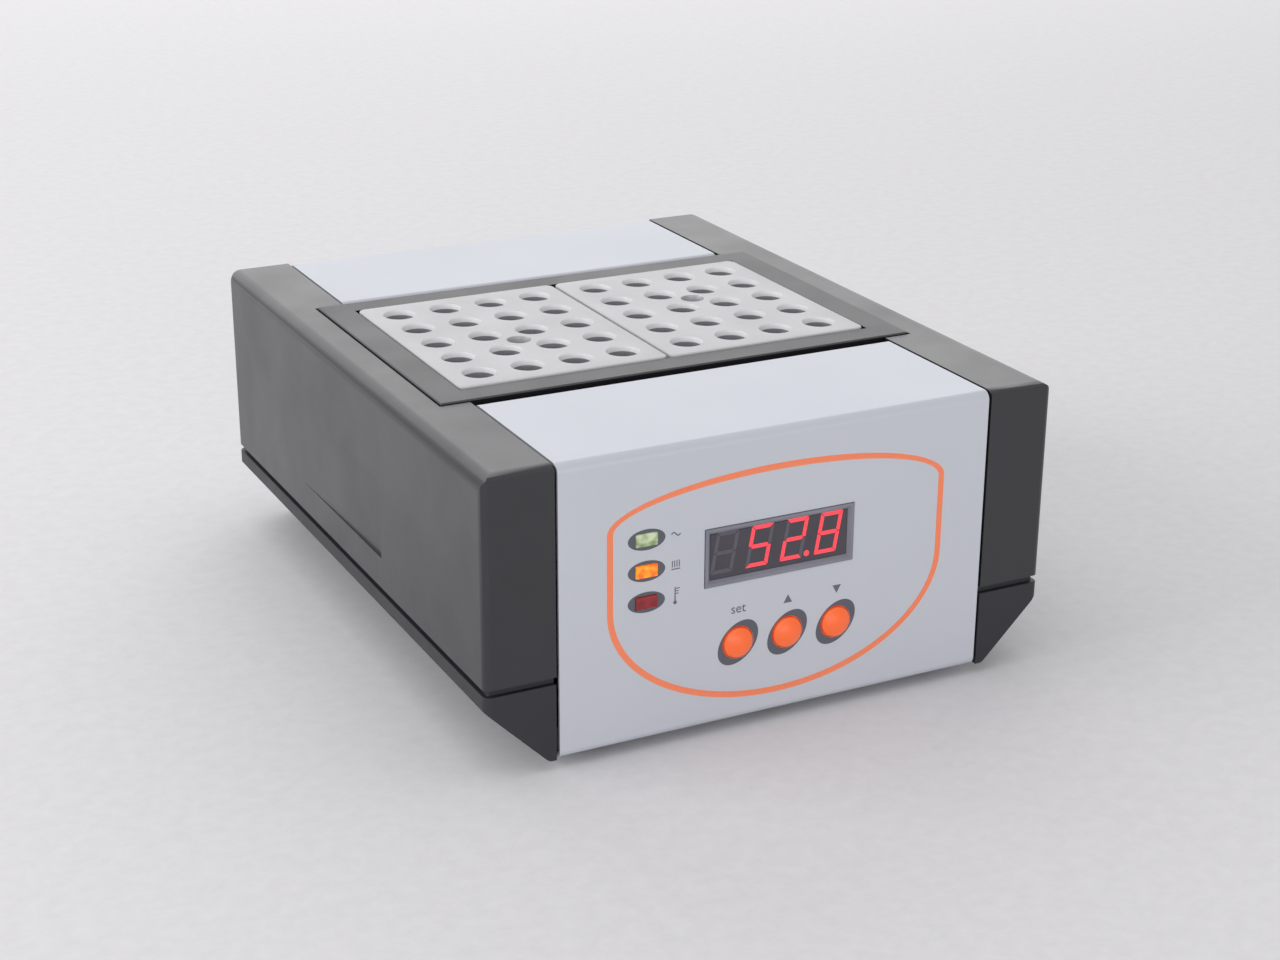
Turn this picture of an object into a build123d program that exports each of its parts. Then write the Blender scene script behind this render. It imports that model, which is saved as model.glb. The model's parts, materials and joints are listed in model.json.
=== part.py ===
from build123d import *
import os

# Dry bath incubator: two aluminium tube blocks on a heated plate, in a silver and charcoal bench case.
# Millimetres. The origin is on the bench under the middle of the whole outline. +X is to the right of
# someone who reads the display, +Y is to the back and +Z is up.

os.makedirs("parts", exist_ok=True)

# Silver covers, folded from one sheet each
cover_sheet = 1.2
fold_radius = 3.0  # outside of every fold
front_deck_depth = 62.0
rear_deck_depth = 59.4
bottom_flange = 12.0  # return under the tray
deck_flange = 10.0  # drop beside the bezel
cover_fit = 0.3  # from a cover to the tray

# Moulded cheeks
cheek_width = 23.6
cheek_gap = 0.9  # dark line between a cheek and the covers
cheek_wall = 3.0
cheek_top_radius = 5.0
cheek_front_radius = 2.5
cheek_back_radius = 3.5
nose_drop = 1.2  # the top rolls down to a crisp edge at the front
nose_length = 4.0
recess_depth = 1.0  # at the front end of the bare recess, which runs out to the rear
recess_front = 85.5  # behind the front face
recess_length = 78.5
recess_low = 42.5
recess_height = 28.3
pocket_fit = 0.6  # round the bezel
ledge_width = 5.0  # carries the bezel
ledge_thickness = 3.0
cheek_rib = 2.0
tongue_length = 14.0  # tongues that drop behind the tray's seat walls
tongue_drop = 6.0
tongue_wall = 2.0
tongue_fit = 0.1

# Tray
foot_height = 3.5
foot_side = 12.7
foot_taper = 1.2
foot_inset = 26.0  # from the front and the back
foot_spread = 118.0
tray_wall = 3.0
lip_height = 29.3  # bench to the top of the sills
sill_slope = 21.0  # run and rise of the 45 degree sides
sill_toe_radius = 3.0
end_wall_height = 14.0  # of the tray behind the covers
groove_height = 2.4  # dark line between a sill and its cheek
groove_depth = 1.8
vent_width = 3.0
vent_length = 26.0
vent_pitch = 9.0
vent_rows = 2
vents_per_row = 7

# Tube blocks
block_width = 74.9
block_depth = 95.4
block_height = 51.0
block_corner = 2.8
block_edge = 0.5
block_gap = 1.2
block_fit = 0.5  # from a block to the bezel
block_proud = 1.0  # above the decks
well_columns = 4
well_rows = 5
well_pitch_x = 17.33
well_pitch_y = 17.9
well_radius = 5.35
well_floor = 7.0  # left under the wells
probe_radius = 3.9  # one narrower well, for a thermometer
probe_floor = 5.0

# Bezel round the blocks
bezel_rim_side = 10.6
bezel_rim_front = 10.1
bezel_gap = 2.1  # open slot between a deck and the bezel
bezel_thickness = 2.0
bezel_proud = 0.6  # above the decks
bezel_edge = 0.4
skirt_wall = 1.5
skirt_height = 7.0

# Heater stack, from the blocks down
plate_thickness = 8.0
mat_thickness = 1.0
clamp_thickness = 1.5
board_insulation = 6.0
pan_sheet = 1.2
pan_height = 8.0
pan_space = 25.7  # under the pan, for the looms
stack_inset = 1.5  # the mat, clamp and insulation board stop short of the plate's edge
wrap_thickness = 7.4
wrap_fit = 0.2
pan_fit = 0.1
wrap_headroom = 1.0  # under the ledge
pillar_across = 7.0  # across the corners of the hexagon
pillar_inset = 14.0
sensor_side = 3.0  # flat sensor in a groove of the plate's underside
sensor_length = 46.0
sensor_depth = 30.0  # inside the plate
sensor_fit = 0.1
sensor_notch = 1.0  # round the sensor where it passes through the insulation
cutout_side = 14.0
cutout_height = 9.0
cutout_x = 12.0
cutout_fit = 0.5
cutout_tab_length = 5.0

# Control panel
panel_middle = 60.9  # height of the display and of the middle lamp
lamp_x = -46.7
lamp_pitch = 10.3
lens_width = 7.4
lens_height = 4.2
lens_proud = 0.6
lens_fit = 0.1
lens_length = 8.0
lens_foot_width = 5.0
lens_foot_height = 2.6
display_width = 53.4
display_height = 19.6
display_border = 2.1
display_proud = 0.4
display_chamfer = 1.0  # down to the face of the window
display_lip = 1.5  # behind the panel, wider than its opening all round
display_lip_depth = 2.0
display_fit = 0.12
window_thickness = 2.6
window_fit = 0.1
module_width = 50.3
module_height = 19.0
module_depth = 8.0
button_x = 3.4
button_z = 30.5
button_pitch = 17.8
button_radius = 5.2
button_fit = 0.35
button_proud = 2.3
button_crown = 0.8
button_crown_width = 2.2
button_travel = 1.2
button_slack = 0.1
button_stop = 12.4  # square stop behind the panel
button_stop_depth = 1.0
button_stem = 3.6
board_pillar_across = 5.8
board_pillar_inset = 4.0
board_thickness = 1.6
board_margin = 8.0  # outside the lamps and the button stops
switch_side = 6.0
switch_height = 3.5
plunger_side = 3.0
plunger_height = 0.8

# Power board
power_board_front_gap = 4.7  # behind the display board
power_board_back_gap = 4.3  # in front of the heater pan
power_board_edge = 3.0  # beside the heat sink and the transformer
board_post = 6.0
board_post_inset = 5.0
part_gap = 3.0  # between parts on the power board
transformer_width = 38.0
transformer_height = 30.0
transformer_core = 14.0
transformer_window = 6.0
transformer_coil = 26.0
sink_width = 40.0
sink_height = 26.0
sink_base = 3.0
sink_depth = 14.0
sink_fin = 1.5
sink_fins = 7
triac_width = 10.0
triac_tab = 1.3
triac_body = 4.5
triac_body_height = 9.0
triac_height = 16.0
relay_width = 19.0
relay_depth = 15.5
relay_height = 15.7
capacitor_length = 18.0
capacitor_depth = 7.0
capacitor_height = 12.0
terminal_width = 30.0
terminal_depth = 10.0
terminal_height = 12.0
terminal_ways = 4
terminal_entry = 4.4
terminal_entry_depth = 3.0
terminal_x = 2.0
ribbon_width = 20.0
ribbon_thickness = 0.9
ribbon_bend = 4.0
ribbon_start = 15.0  # above the power board
loom_width = 6.0
loom_thickness = 2.0
loom_bend = 3.0

# Rear panel
inlet_inset = 36.0  # from the +X end of the cover to the middle of the inlet
inlet_z = 44.0
inlet_proud = 3.0
inlet_rim = 1.7  # of the flange, outside the body
inlet_wall = 1.7
inlet_web = 3.3  # between the socket and the fuse drawer
inlet_body_depth = 24.0
socket_width = 24.2
socket_height = 16.6
socket_corner = 5.0
socket_depth = 16.5
pin_spread = 7.0
pin_drop = 2.0
pin_width = 2.0
pin_height = 4.0
pin_length = 14.0
pin_tab = 8.0  # behind the inlet
drawer_width = 22.0
drawer_height = 8.4
drawer_depth = 20.0
drawer_fit = 0.2
drawer_wall = 1.3
fuse_radius = 2.6
fuse_sides = 8
fuse_length = 17.0
switch_x = -2.0
switch_width = 15.0
switch_tall = 21.0
switch_frame = 1.6
switch_proud = 2.0
switch_depth = 16.0
switch_body_side = 1.0  # the body is this much narrower than its frame all round
rocker_fit = 0.25
rocker_tilt = 9.0  # degrees each way from the middle
rocker_reach = 2.0  # face of the rocker behind the panel, at its hinge
tab_width = 4.8
tab_thickness = 0.8
tab_length = 8.0
earth_inset = 12.0  # from the +X end of the cover
earth_z = 26.0
earth_foot = 7.0

# Worked out from the sizes above
opening_width = 2 * block_width + block_gap + 2 * block_fit
opening_depth = block_depth + 2 * block_fit
cover_width = opening_width  # the covers run as wide as the opening over the blocks
half_cover = cover_width / 2
half_sheet = cover_sheet / 2
cheek_inner = half_cover + cheek_gap
cheek_outer = cheek_inner + cheek_width
cheek_bottom = lip_height + groove_height
bezel_width = opening_width + 2 * bezel_rim_side
bezel_depth = opening_depth + 2 * bezel_rim_front
case_depth = front_deck_depth + bezel_gap + bezel_depth + bezel_gap + rear_deck_depth
front = (button_proud - inlet_proud - case_depth) / 2
back = front + case_depth
block_y = front + front_deck_depth + bezel_gap + bezel_depth / 2
floor_top = foot_height + tray_wall
pan_bottom = floor_top + pan_space
insulation_bottom = pan_bottom + pan_sheet
clamp_bottom = insulation_bottom + board_insulation
mat_bottom = clamp_bottom + clamp_thickness
plate_bottom = mat_bottom + mat_thickness
plate_top = plate_bottom + plate_thickness
block_top = plate_top + block_height
deck_height = block_top - block_proud
bezel_bottom = deck_height + bezel_proud - bezel_thickness
pocket_side = bezel_width / 2 + pocket_fit
pocket_front = block_y - bezel_depth / 2 - pocket_fit
pocket_back = block_y + bezel_depth / 2 + pocket_fit
plate_width = opening_width + 2 * skirt_wall
plate_depth = opening_depth + 2 * skirt_wall
wrap_inner_width = plate_width + 2 * wrap_fit
wrap_inner_depth = plate_depth + 2 * wrap_fit
wrap_width = wrap_inner_width + 2 * wrap_thickness
wrap_depth = wrap_inner_depth + 2 * wrap_thickness
panel_back = front + cover_sheet
lip_back = panel_back + display_lip_depth
board_front = lip_back + module_depth
board_back = board_front + board_thickness
power_board_bottom = floor_top + board_post
power_board_top = power_board_bottom + board_thickness
power_board_front = board_back + power_board_front_gap
power_board_back = block_y - wrap_depth / 2 - pan_fit - pan_sheet - power_board_back_gap
power_board_middle = (power_board_front + power_board_back) / 2
sink_x = terminal_x - terminal_width / 2 - part_gap - sink_width / 2
transformer_x = terminal_x + terminal_width / 2 + part_gap + transformer_width / 2
power_board_left = sink_x - sink_width / 2 - power_board_edge
power_board_right = transformer_x + transformer_width / 2 + power_board_edge
power_board_width = power_board_right - power_board_left
power_board_depth = power_board_back - power_board_front
ribbon_x = terminal_x - relay_width / 2 - part_gap - ribbon_width / 2
inlet_x = half_cover - inlet_inset
earth_x = half_cover - earth_inset
inlet_body_width = socket_width + 2 * inlet_wall
drawer_space = drawer_height + 2 * drawer_fit
inlet_body_height = drawer_space + inlet_web + socket_height + 2 * inlet_wall
lamp_points = [(lamp_x, panel_middle + step * lamp_pitch) for step in (1, 0, -1)]
button_points = [(button_x + step * button_pitch, button_z) for step in (-1, 0, 1)]


def facing(y):
    """A sketch plane at depth y, seen from the front: its x is +X and its y is +Z."""
    return Plane.XZ.offset(-y)


def level(z):
    """A sketch plane at height z, seen from above."""
    return Plane.XY.offset(z)


def tray_outline(top):
    """Front view of the tray up to the height top: a floor whose sides slope up into the sills."""
    half_floor = cheek_outer - sill_slope
    slope_top = foot_height + sill_slope
    with BuildSketch() as outline:
        Polygon(
            (-cheek_outer, top),
            (-cheek_outer, slope_top),
            (-half_floor, foot_height),
            (half_floor, foot_height),
            (cheek_outer, slope_top),
            (cheek_outer, top),
            align=None,
        )
    return outline.sketch


def case_plan():
    """Top view of the whole case, with its rounded vertical corners."""
    with BuildSketch() as plan:
        with Locations((0, (front + back) / 2)):
            Rectangle(2 * cheek_outer, case_depth)
        fillet(plan.vertices().group_by(Axis.Y)[0], cheek_front_radius)
        fillet(plan.vertices().group_by(Axis.Y)[-1], cheek_back_radius)
    return plan.sketch


def cheek_plan(inset=0.0):
    """Top view of the right cheek, stepped round the bezel; inset draws in its three outer sides."""
    with BuildSketch() as plan:
        Polygon(
            (cheek_inner, front + inset),
            (cheek_outer - inset, front + inset),
            (cheek_outer - inset, back - inset),
            (cheek_inner, back - inset),
            (cheek_inner, pocket_back),
            (pocket_side, pocket_back),
            (pocket_side, pocket_front),
            (cheek_inner, pocket_front),
            align=None,
        )
    return plan.sketch


def cheek_seat_plan():
    """Top view of the tray's walls that carry both cheeks."""
    with BuildSketch() as plan:
        add(cheek_plan(groove_depth))
        offset(amount=-tray_wall, kind=Kind.INTERSECTION, mode=Mode.SUBTRACT)
        mirror(about=Plane.YZ)
    return plan.sketch


def tongue_plan(clearance):
    """Top view of the space between the right seat walls, at both ends of the case."""
    inner_left = cheek_inner + tray_wall + clearance
    inner_right = cheek_outer - groove_depth - tray_wall - clearance
    inset = groove_depth + tray_wall + clearance
    length = tongue_length - clearance
    with BuildSketch() as plan:
        with Locations((inner_left, front + inset), (inner_left, back - inset - length)):
            Rectangle(inner_right - inner_left, length, align=(Align.MIN, Align.MIN))
    return plan.sketch


def cover_step(face_y, inward):
    """Side view of the step in the tray that takes a cover's panel and bottom flange."""
    panel_line = face_y + inward * (cover_sheet + cover_fit)
    flange_line = foot_height + cover_sheet
    corner = fold_radius - cover_sheet
    with BuildSketch() as step:
        Polygon(
            (face_y, 0),
            (face_y + inward * (bottom_flange + cover_fit), 0),
            (face_y + inward * (bottom_flange + cover_fit), flange_line),
            (panel_line + inward * corner, flange_line),
            (panel_line, flange_line + corner),
            (panel_line, lip_height + groove_height),
            (face_y, lip_height + groove_height),
            align=None,
        )
    return step.sketch


def rectangle_ring(inner_width, inner_depth, wall):
    """A rectangular frame round the middle of the heated well."""
    with BuildSketch() as ring:
        with Locations((0, block_y)):
            Rectangle(inner_width + 2 * wall, inner_depth + 2 * wall)
            Rectangle(inner_width, inner_depth, mode=Mode.SUBTRACT)
    return ring.sketch


# Base tray: a moulded floor whose sides rise at 45 degrees into a sill under each cheek
board_post_points = [
    (x, y)
    for x in (power_board_left + board_post_inset, power_board_right - board_post_inset)
    for y in (power_board_front + board_post_inset, power_board_back - board_post_inset)
]

with BuildPart() as tray_hollow:
    with BuildSketch(facing(front + tray_wall)):
        add(tray_outline(lip_height + tray_wall))
        offset(amount=-tray_wall, kind=Kind.INTERSECTION, mode=Mode.REPLACE)
    extrude(amount=-(case_depth - 2 * tray_wall))
    with BuildSketch(level(foot_height)):
        add(cheek_seat_plan())
    extrude(amount=cheek_bottom, mode=Mode.SUBTRACT)
    with BuildSketch(level(foot_height)):
        with Locations(*board_post_points):
            Rectangle(board_post, board_post)
    extrude(amount=power_board_bottom - foot_height, mode=Mode.SUBTRACT)
    # Between the cheeks' seats the end walls stay low behind the covers.
    with BuildSketch(level(end_wall_height)):
        with Locations((0, (front + back) / 2)):
            Rectangle(2 * cheek_inner, case_depth)
    extrude(amount=lip_height)

with BuildPart() as base_tray:
    with BuildSketch(facing(front)):
        add(tray_outline(lip_height))
    extrude(amount=-case_depth)
    toes = base_tray.edges().filter_by(Axis.Y).group_by(Axis.Z)[0]
    fillet(toes, sill_toe_radius)
    with BuildSketch(level(0)):
        add(case_plan())
    extrude(amount=cheek_bottom, mode=Mode.INTERSECT)
    add(tray_hollow.part, mode=Mode.SUBTRACT)
    with BuildSketch(level(lip_height - groove_height)):
        add(cheek_seat_plan())
    extrude(amount=2 * groove_height)
    with BuildSketch(Plane.YZ):
        add(cover_step(front, 1))
        add(cover_step(back, -1))
    extrude(amount=cheek_inner, both=True, mode=Mode.SUBTRACT)
    with BuildSketch(level(foot_height)):
        with Locations((0, block_y)):
            with GridLocations(vent_pitch, vent_length + vent_pitch, vents_per_row, vent_rows):
                Rectangle(vent_width, vent_length)
    extrude(amount=tray_wall, mode=Mode.SUBTRACT)
base_tray.part.label = "base_tray"

# Right cheek: a shell open at the bottom, stepped round the bezel, with a bare recess outside
with BuildPart() as cheek_front_view:
    with BuildSketch(facing(front)) as front_profile:
        with Locations((cheek_inner, cheek_bottom)):
            Rectangle(cheek_width, deck_height - cheek_bottom, align=(Align.MIN, Align.MIN))
        top_corner = front_profile.vertices().group_by(Axis.Y)[-1].sort_by(Axis.X)[-1]
        fillet(top_corner, cheek_top_radius)
    extrude(amount=-case_depth)

with BuildPart() as right_cheek:
    with BuildSketch(level(cheek_bottom)):
        add(cheek_plan())
        add(case_plan(), mode=Mode.INTERSECT)
    extrude(amount=deck_height - cheek_bottom)
    add(cheek_front_view.part, mode=Mode.INTERSECT)
    with BuildSketch(Plane.YZ.offset(cheek_inner)):
        with BuildLine():
            nose_foot = (front, deck_height - nose_drop)
            nose_top = (front + nose_length, deck_height)
            Line(nose_foot, (front, deck_height))
            Line((front, deck_height), nose_top)
            TangentArc(nose_top, nose_foot, tangent=(-1, 0))
        make_face()
    extrude(amount=cheek_width, mode=Mode.SUBTRACT)
    with BuildSketch(level(cheek_bottom)):
        add(cheek_plan())
        offset(amount=-cheek_wall, kind=Kind.INTERSECTION, mode=Mode.REPLACE)
        with Locations((cheek_outer, block_y)):
            with GridLocations(0, bezel_depth / 2, 1, 2):
                Rectangle(cheek_width, cheek_rib, mode=Mode.SUBTRACT)
    extrude(amount=deck_height - cheek_bottom - cheek_wall, mode=Mode.SUBTRACT)
    with BuildSketch(level(recess_low)):
        Polygon(
            (cheek_outer, front + recess_front),
            (cheek_outer - recess_depth, front + recess_front),
            (cheek_outer, front + recess_front + recess_length),
            align=None,
        )
    extrude(amount=recess_height, mode=Mode.SUBTRACT)
    with BuildSketch(level(bezel_bottom - ledge_thickness)):
        with Locations((pocket_side - ledge_width, pocket_front)):
            Rectangle(ledge_width, pocket_back - pocket_front, align=(Align.MIN, Align.MIN))
    extrude(amount=ledge_thickness)
    # A web across each end of the cheek carries a tongue that drops between the tray's seat walls.
    with BuildSketch(level(cheek_bottom)):
        add(tongue_plan(-groove_depth - tongue_fit))
        add(cheek_plan(cheek_wall / 2), mode=Mode.INTERSECT)
    extrude(amount=tongue_wall)
    with BuildSketch(level(cheek_bottom)):
        add(tongue_plan(tongue_fit))
        offset(amount=-tongue_wall, kind=Kind.INTERSECTION, mode=Mode.SUBTRACT)
    extrude(amount=-tongue_drop)
right_cheek.part.label = "right_cheek"

with BuildPart() as left_cheek:
    add(mirror(right_cheek.part, about=Plane.YZ, mode=Mode.PRIVATE))
left_cheek.part.label = "left_cheek"

# Front cover: bottom flange, front panel, deck and the drop beside the bezel, in one folded sheet
with BuildPart() as front_cover:
    with BuildSketch(Plane.YZ.offset(-half_cover)):
        with BuildLine():
            FilletPolyline(
                (front + bottom_flange, foot_height + half_sheet),
                (front + half_sheet, foot_height + half_sheet),
                (front + half_sheet, deck_height - half_sheet),
                (front + front_deck_depth - half_sheet, deck_height - half_sheet),
                (front + front_deck_depth - half_sheet, deck_height - deck_flange),
                radius=fold_radius - half_sheet,
            )
        trace(line_width=cover_sheet)
    extrude(amount=cover_width)
    with BuildSketch(facing(front)):
        with Locations(*lamp_points):
            Rectangle(lens_width + 2 * lens_fit, lens_height + 2 * lens_fit)
        with Locations(*button_points):
            Circle(button_radius + button_fit)
        with Locations((0, panel_middle)):
            Rectangle(display_width, display_height)
    extrude(amount=-cover_sheet, mode=Mode.SUBTRACT)
front_cover.part.label = "front_cover"

# Rear cover: drop beside the bezel, deck, rear panel and bottom flange
with BuildPart() as rear_cover:
    with BuildSketch(Plane.YZ.offset(-half_cover)):
        with BuildLine():
            FilletPolyline(
                (back - rear_deck_depth + half_sheet, deck_height - deck_flange),
                (back - rear_deck_depth + half_sheet, deck_height - half_sheet),
                (back - half_sheet, deck_height - half_sheet),
                (back - half_sheet, foot_height + half_sheet),
                (back - bottom_flange, foot_height + half_sheet),
                radius=fold_radius - half_sheet,
            )
        trace(line_width=cover_sheet)
    extrude(amount=cover_width)
    with BuildSketch(facing(back - cover_sheet)):
        with Locations((inlet_x, inlet_z)):
            Rectangle(inlet_body_width + 2 * cover_fit, inlet_body_height + 2 * cover_fit)
        with Locations((switch_x, inlet_z)):
            Rectangle(switch_width - 2 * switch_body_side, switch_tall - 2 * switch_body_side)
    extrude(amount=-cover_sheet, mode=Mode.SUBTRACT)
rear_cover.part.label = "rear_cover"

# Bezel: a frame on the cheeks' ledges, with a skirt that guides the blocks
with BuildPart() as well_bezel:
    with BuildSketch(level(bezel_bottom)):
        with Locations((0, block_y)):
            Rectangle(bezel_width, bezel_depth)
    extrude(amount=bezel_thickness)
    chamfer(well_bezel.faces().sort_by(Axis.Z)[-1].edges(), bezel_edge)
    with BuildSketch(level(bezel_bottom - skirt_height)):
        add(rectangle_ring(opening_width, opening_depth, skirt_wall))
    extrude(amount=skirt_height)
    with BuildSketch(level(bezel_bottom)):
        with Locations((0, block_y)):
            Rectangle(opening_width, opening_depth)
    extrude(amount=bezel_thickness, mode=Mode.SUBTRACT)
well_bezel.part.label = "well_bezel"

# Tube blocks: a grid of flat-bottomed wells, and a narrower and deeper one for a thermometer
block_step = (block_width + block_gap) / 2

with BuildPart() as block_left:
    with BuildSketch(level(plate_top)):
        with Locations((-block_step, block_y)):
            RectangleRounded(block_width, block_depth, block_corner)
    extrude(amount=block_height)
    chamfer(block_left.faces().sort_by(Axis.Z)[-1].edges(), block_edge)
    with Locations((-block_step, block_y, block_top)):
        with GridLocations(well_pitch_x, well_pitch_y, well_columns, well_rows):
            Hole(well_radius, block_height - well_floor)
    with Locations((-block_step, block_y - well_pitch_y / 2, block_top)):
        Hole(probe_radius, block_height - probe_floor)
block_left.part.label = "block_left"

# The right block is the same block turned end for end.
with BuildPart() as block_right:
    add(block_left.part.rotate(Axis((0, block_y, 0), (0, 0, 1)), 180))
block_right.part.label = "block_right"

# Liner: thin wall between the blocks and the insulation, from the plate up to the bezel's skirt
with BuildPart() as well_liner:
    with BuildSketch(level(plate_top)):
        add(rectangle_ring(opening_width, opening_depth, skirt_wall))
    extrude(amount=bezel_bottom - skirt_height - plate_top)
well_liner.part.label = "well_liner"

# Heater plate, with a groove for the sensor that runs out of its back edge
plate_back = block_y + plate_depth / 2

with BuildPart() as heater_plate:
    with BuildSketch(level(plate_bottom)):
        with Locations((0, block_y)):
            Rectangle(plate_width, plate_depth)
    extrude(amount=plate_thickness)
    with BuildSketch(facing(plate_back)):
        with Locations((0, plate_bottom)):
            Rectangle(sensor_side + 2 * sensor_fit, 2 * (sensor_side + sensor_fit))
    extrude(amount=sensor_depth, mode=Mode.SUBTRACT)
heater_plate.part.label = "heater_plate"

with BuildPart() as plate_sensor:
    with BuildSketch(facing(plate_back - sensor_depth)):
        with Locations((0, plate_bottom + sensor_side / 2)):
            Rectangle(sensor_side, sensor_side)
    extrude(amount=-sensor_length)
plate_sensor.part.label = "plate_sensor"

# Mat, clamp plate and insulation board under the heater plate
stack_width = plate_width - 2 * stack_inset
stack_depth = plate_depth - 2 * stack_inset

with BuildPart() as heater_mat:
    with BuildSketch(level(mat_bottom)):
        with Locations((0, block_y)):
            Rectangle(stack_width, stack_depth)
    extrude(amount=mat_thickness)
heater_mat.part.label = "heater_mat"

with BuildPart() as clamp_plate:
    with BuildSketch(level(clamp_bottom)):
        with Locations((0, block_y)):
            Rectangle(stack_width, stack_depth)
    extrude(amount=clamp_thickness)
clamp_plate.part.label = "clamp_plate"

with BuildPart() as insulation_board:
    with BuildSketch(level(insulation_bottom)):
        with Locations((0, block_y)):
            Rectangle(stack_width, stack_depth)
        with Locations((cutout_x, block_y)):
            Rectangle(cutout_side + 2 * cutout_fit, cutout_side + 2 * cutout_fit, mode=Mode.SUBTRACT)
    extrude(amount=board_insulation)
insulation_board.part.label = "insulation_board"

with BuildPart() as thermal_cutout:
    with BuildSketch(level(clamp_bottom - cutout_height)):
        with Locations((cutout_x, block_y)):
            Rectangle(cutout_side, cutout_side)
    extrude(amount=cutout_height)
    with BuildSketch(level(clamp_bottom - cutout_height - cutout_tab_length)):
        with Locations((cutout_x, block_y)):
            with GridLocations(cutout_side / 2, 0, 2, 1):
                Rectangle(tab_thickness, tab_width)
    extrude(amount=cutout_tab_length)
thermal_cutout.part.label = "thermal_cutout"

with BuildPart() as insulation_wrap:
    with BuildSketch(level(insulation_bottom)):
        add(rectangle_ring(wrap_inner_width, wrap_inner_depth, wrap_thickness))
    extrude(amount=bezel_bottom - ledge_thickness - wrap_headroom - insulation_bottom)
    with BuildSketch(facing(plate_back)):
        with Locations((0, plate_bottom + sensor_side / 2)):
            Rectangle(sensor_side + 2 * sensor_notch, sensor_side + 2 * sensor_notch)
    extrude(amount=-(wrap_fit + wrap_thickness), mode=Mode.SUBTRACT)
insulation_wrap.part.label = "insulation_wrap"

# Pan under the heater stack, on hexagonal pillars from the tray
with BuildPart() as heater_pan:
    with BuildSketch(level(pan_bottom)):
        add(rectangle_ring(wrap_width + 2 * pan_fit, wrap_depth + 2 * pan_fit, pan_sheet))
    extrude(amount=pan_height)
    with BuildSketch(level(pan_bottom)):
        with Locations((0, block_y)):
            Rectangle(wrap_width + 2 * pan_fit, wrap_depth + 2 * pan_fit)
        with Locations((cutout_x, block_y)):
            Rectangle(cutout_side + 2 * cutout_fit, cutout_side + 2 * cutout_fit, mode=Mode.SUBTRACT)
    extrude(amount=pan_sheet)
heater_pan.part.label = "heater_pan"

with BuildPart() as pan_pillars:
    with BuildSketch(level(floor_top)):
        with Locations((0, block_y)):
            with GridLocations(
                plate_width - 2 * pillar_inset, plate_depth - 2 * pillar_inset, 2, 2
            ):
                RegularPolygon(pillar_across / 2, 6)
    extrude(amount=pan_bottom - floor_top)
pan_pillars.part.label = "pan_pillars"

# Display: a chamfered frame with a lip behind the panel, a tinted window and the digit module
window_width = display_width - 2 * display_border
window_height = display_height - 2 * display_border

with BuildPart() as display_bezel:
    with BuildSketch(facing(panel_back)):
        with Locations((0, panel_middle)):
            Rectangle(display_width + 2 * display_lip, display_height + 2 * display_lip)
    extrude(amount=-display_lip_depth)
    with BuildSketch(facing(panel_back)):
        with Locations((0, panel_middle)):
            Rectangle(display_width - 2 * display_fit, display_height - 2 * display_fit)
    extrude(amount=cover_sheet + display_proud)
    with BuildSketch(facing(lip_back)):
        with Locations((0, panel_middle)):
            Rectangle(window_width, window_height)
    extrude(amount=display_lip_depth + cover_sheet + display_proud, mode=Mode.SUBTRACT)
    chamfer(display_bezel.faces().sort_by(Axis.Y)[0].inner_wires()[0].edges(), display_chamfer)
display_bezel.part.label = "display_bezel"

with BuildPart() as display_window:
    with BuildSketch(facing(lip_back)):
        with Locations((0, panel_middle)):
            Rectangle(window_width - 2 * window_fit, window_height - 2 * window_fit)
    extrude(amount=window_thickness)
display_window.part.label = "display_window"

with BuildPart() as display_module:
    with BuildSketch(facing(lip_back)):
        with Locations((0, panel_middle)):
            Rectangle(module_width, module_height)
    extrude(amount=-module_depth)
display_module.part.label = "display_module"

# Lamps: a rectangular lens through the panel and a narrower foot on the board
lamps = {}
for name, point in zip(("lamp_mains", "lamp_heater", "lamp_alarm"), lamp_points):
    with BuildPart() as lamp:
        with BuildSketch(facing(front - lens_proud)):
            with Locations(point):
                Rectangle(lens_width, lens_height)
        extrude(amount=-lens_length)
        with BuildSketch(facing(front - lens_proud + lens_length)):
            with Locations(point):
                Rectangle(lens_foot_width, lens_foot_height)
        extrude(amount=-(board_front - front + lens_proud - lens_length))
    lamp.part.label = name
    lamps[name] = lamp

# Buttons: a crowned cap through the panel, a square stop behind it and a stem to the switch
stop_front = panel_back + button_slack
stem_end = board_front - switch_height - plunger_height - button_travel - button_slack
buttons = {}
for name, point in zip(("button_set", "button_up", "button_down"), button_points):
    with BuildPart() as button:
        with BuildSketch(facing(stop_front)):
            with Locations(point):
                Circle(button_radius)
        extrude(amount=stop_front - front + button_proud)
        cap_face = button.faces().sort_by(Axis.Y)[0]
        chamfer(cap_face.edges(), button_crown_width, button_crown, reference=cap_face)
        with BuildSketch(facing(stop_front)):
            with Locations(point):
                Rectangle(button_stop, button_stop)
        extrude(amount=-button_stop_depth)
        with BuildSketch(facing(stop_front + button_stop_depth)):
            with Locations(point):
                Rectangle(button_stem, button_stem)
        extrude(amount=-(stem_end - stop_front - button_stop_depth))
    button.part.label = name
    buttons[name] = button

# Display board on hexagonal pillars behind the front panel, with a switch for each button
board_left = lamp_x - lens_width / 2 - board_margin
board_right = button_points[-1][0] + button_stop / 2 + board_margin
board_low = button_z - button_stop / 2 - board_margin
board_high = lamp_points[0][1] + lens_height / 2 + board_margin
board_centre = ((board_left + board_right) / 2, (board_low + board_high) / 2)
board_size = (board_right - board_left, board_high - board_low)
pillar_pitch = (board_size[0] - 2 * board_pillar_inset, board_size[1] - 2 * board_pillar_inset)

with BuildPart() as display_board:
    with BuildSketch(facing(board_front)):
        with Locations(board_centre):
            Rectangle(*board_size)
    extrude(amount=-board_thickness)
display_board.part.label = "display_board"

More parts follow.
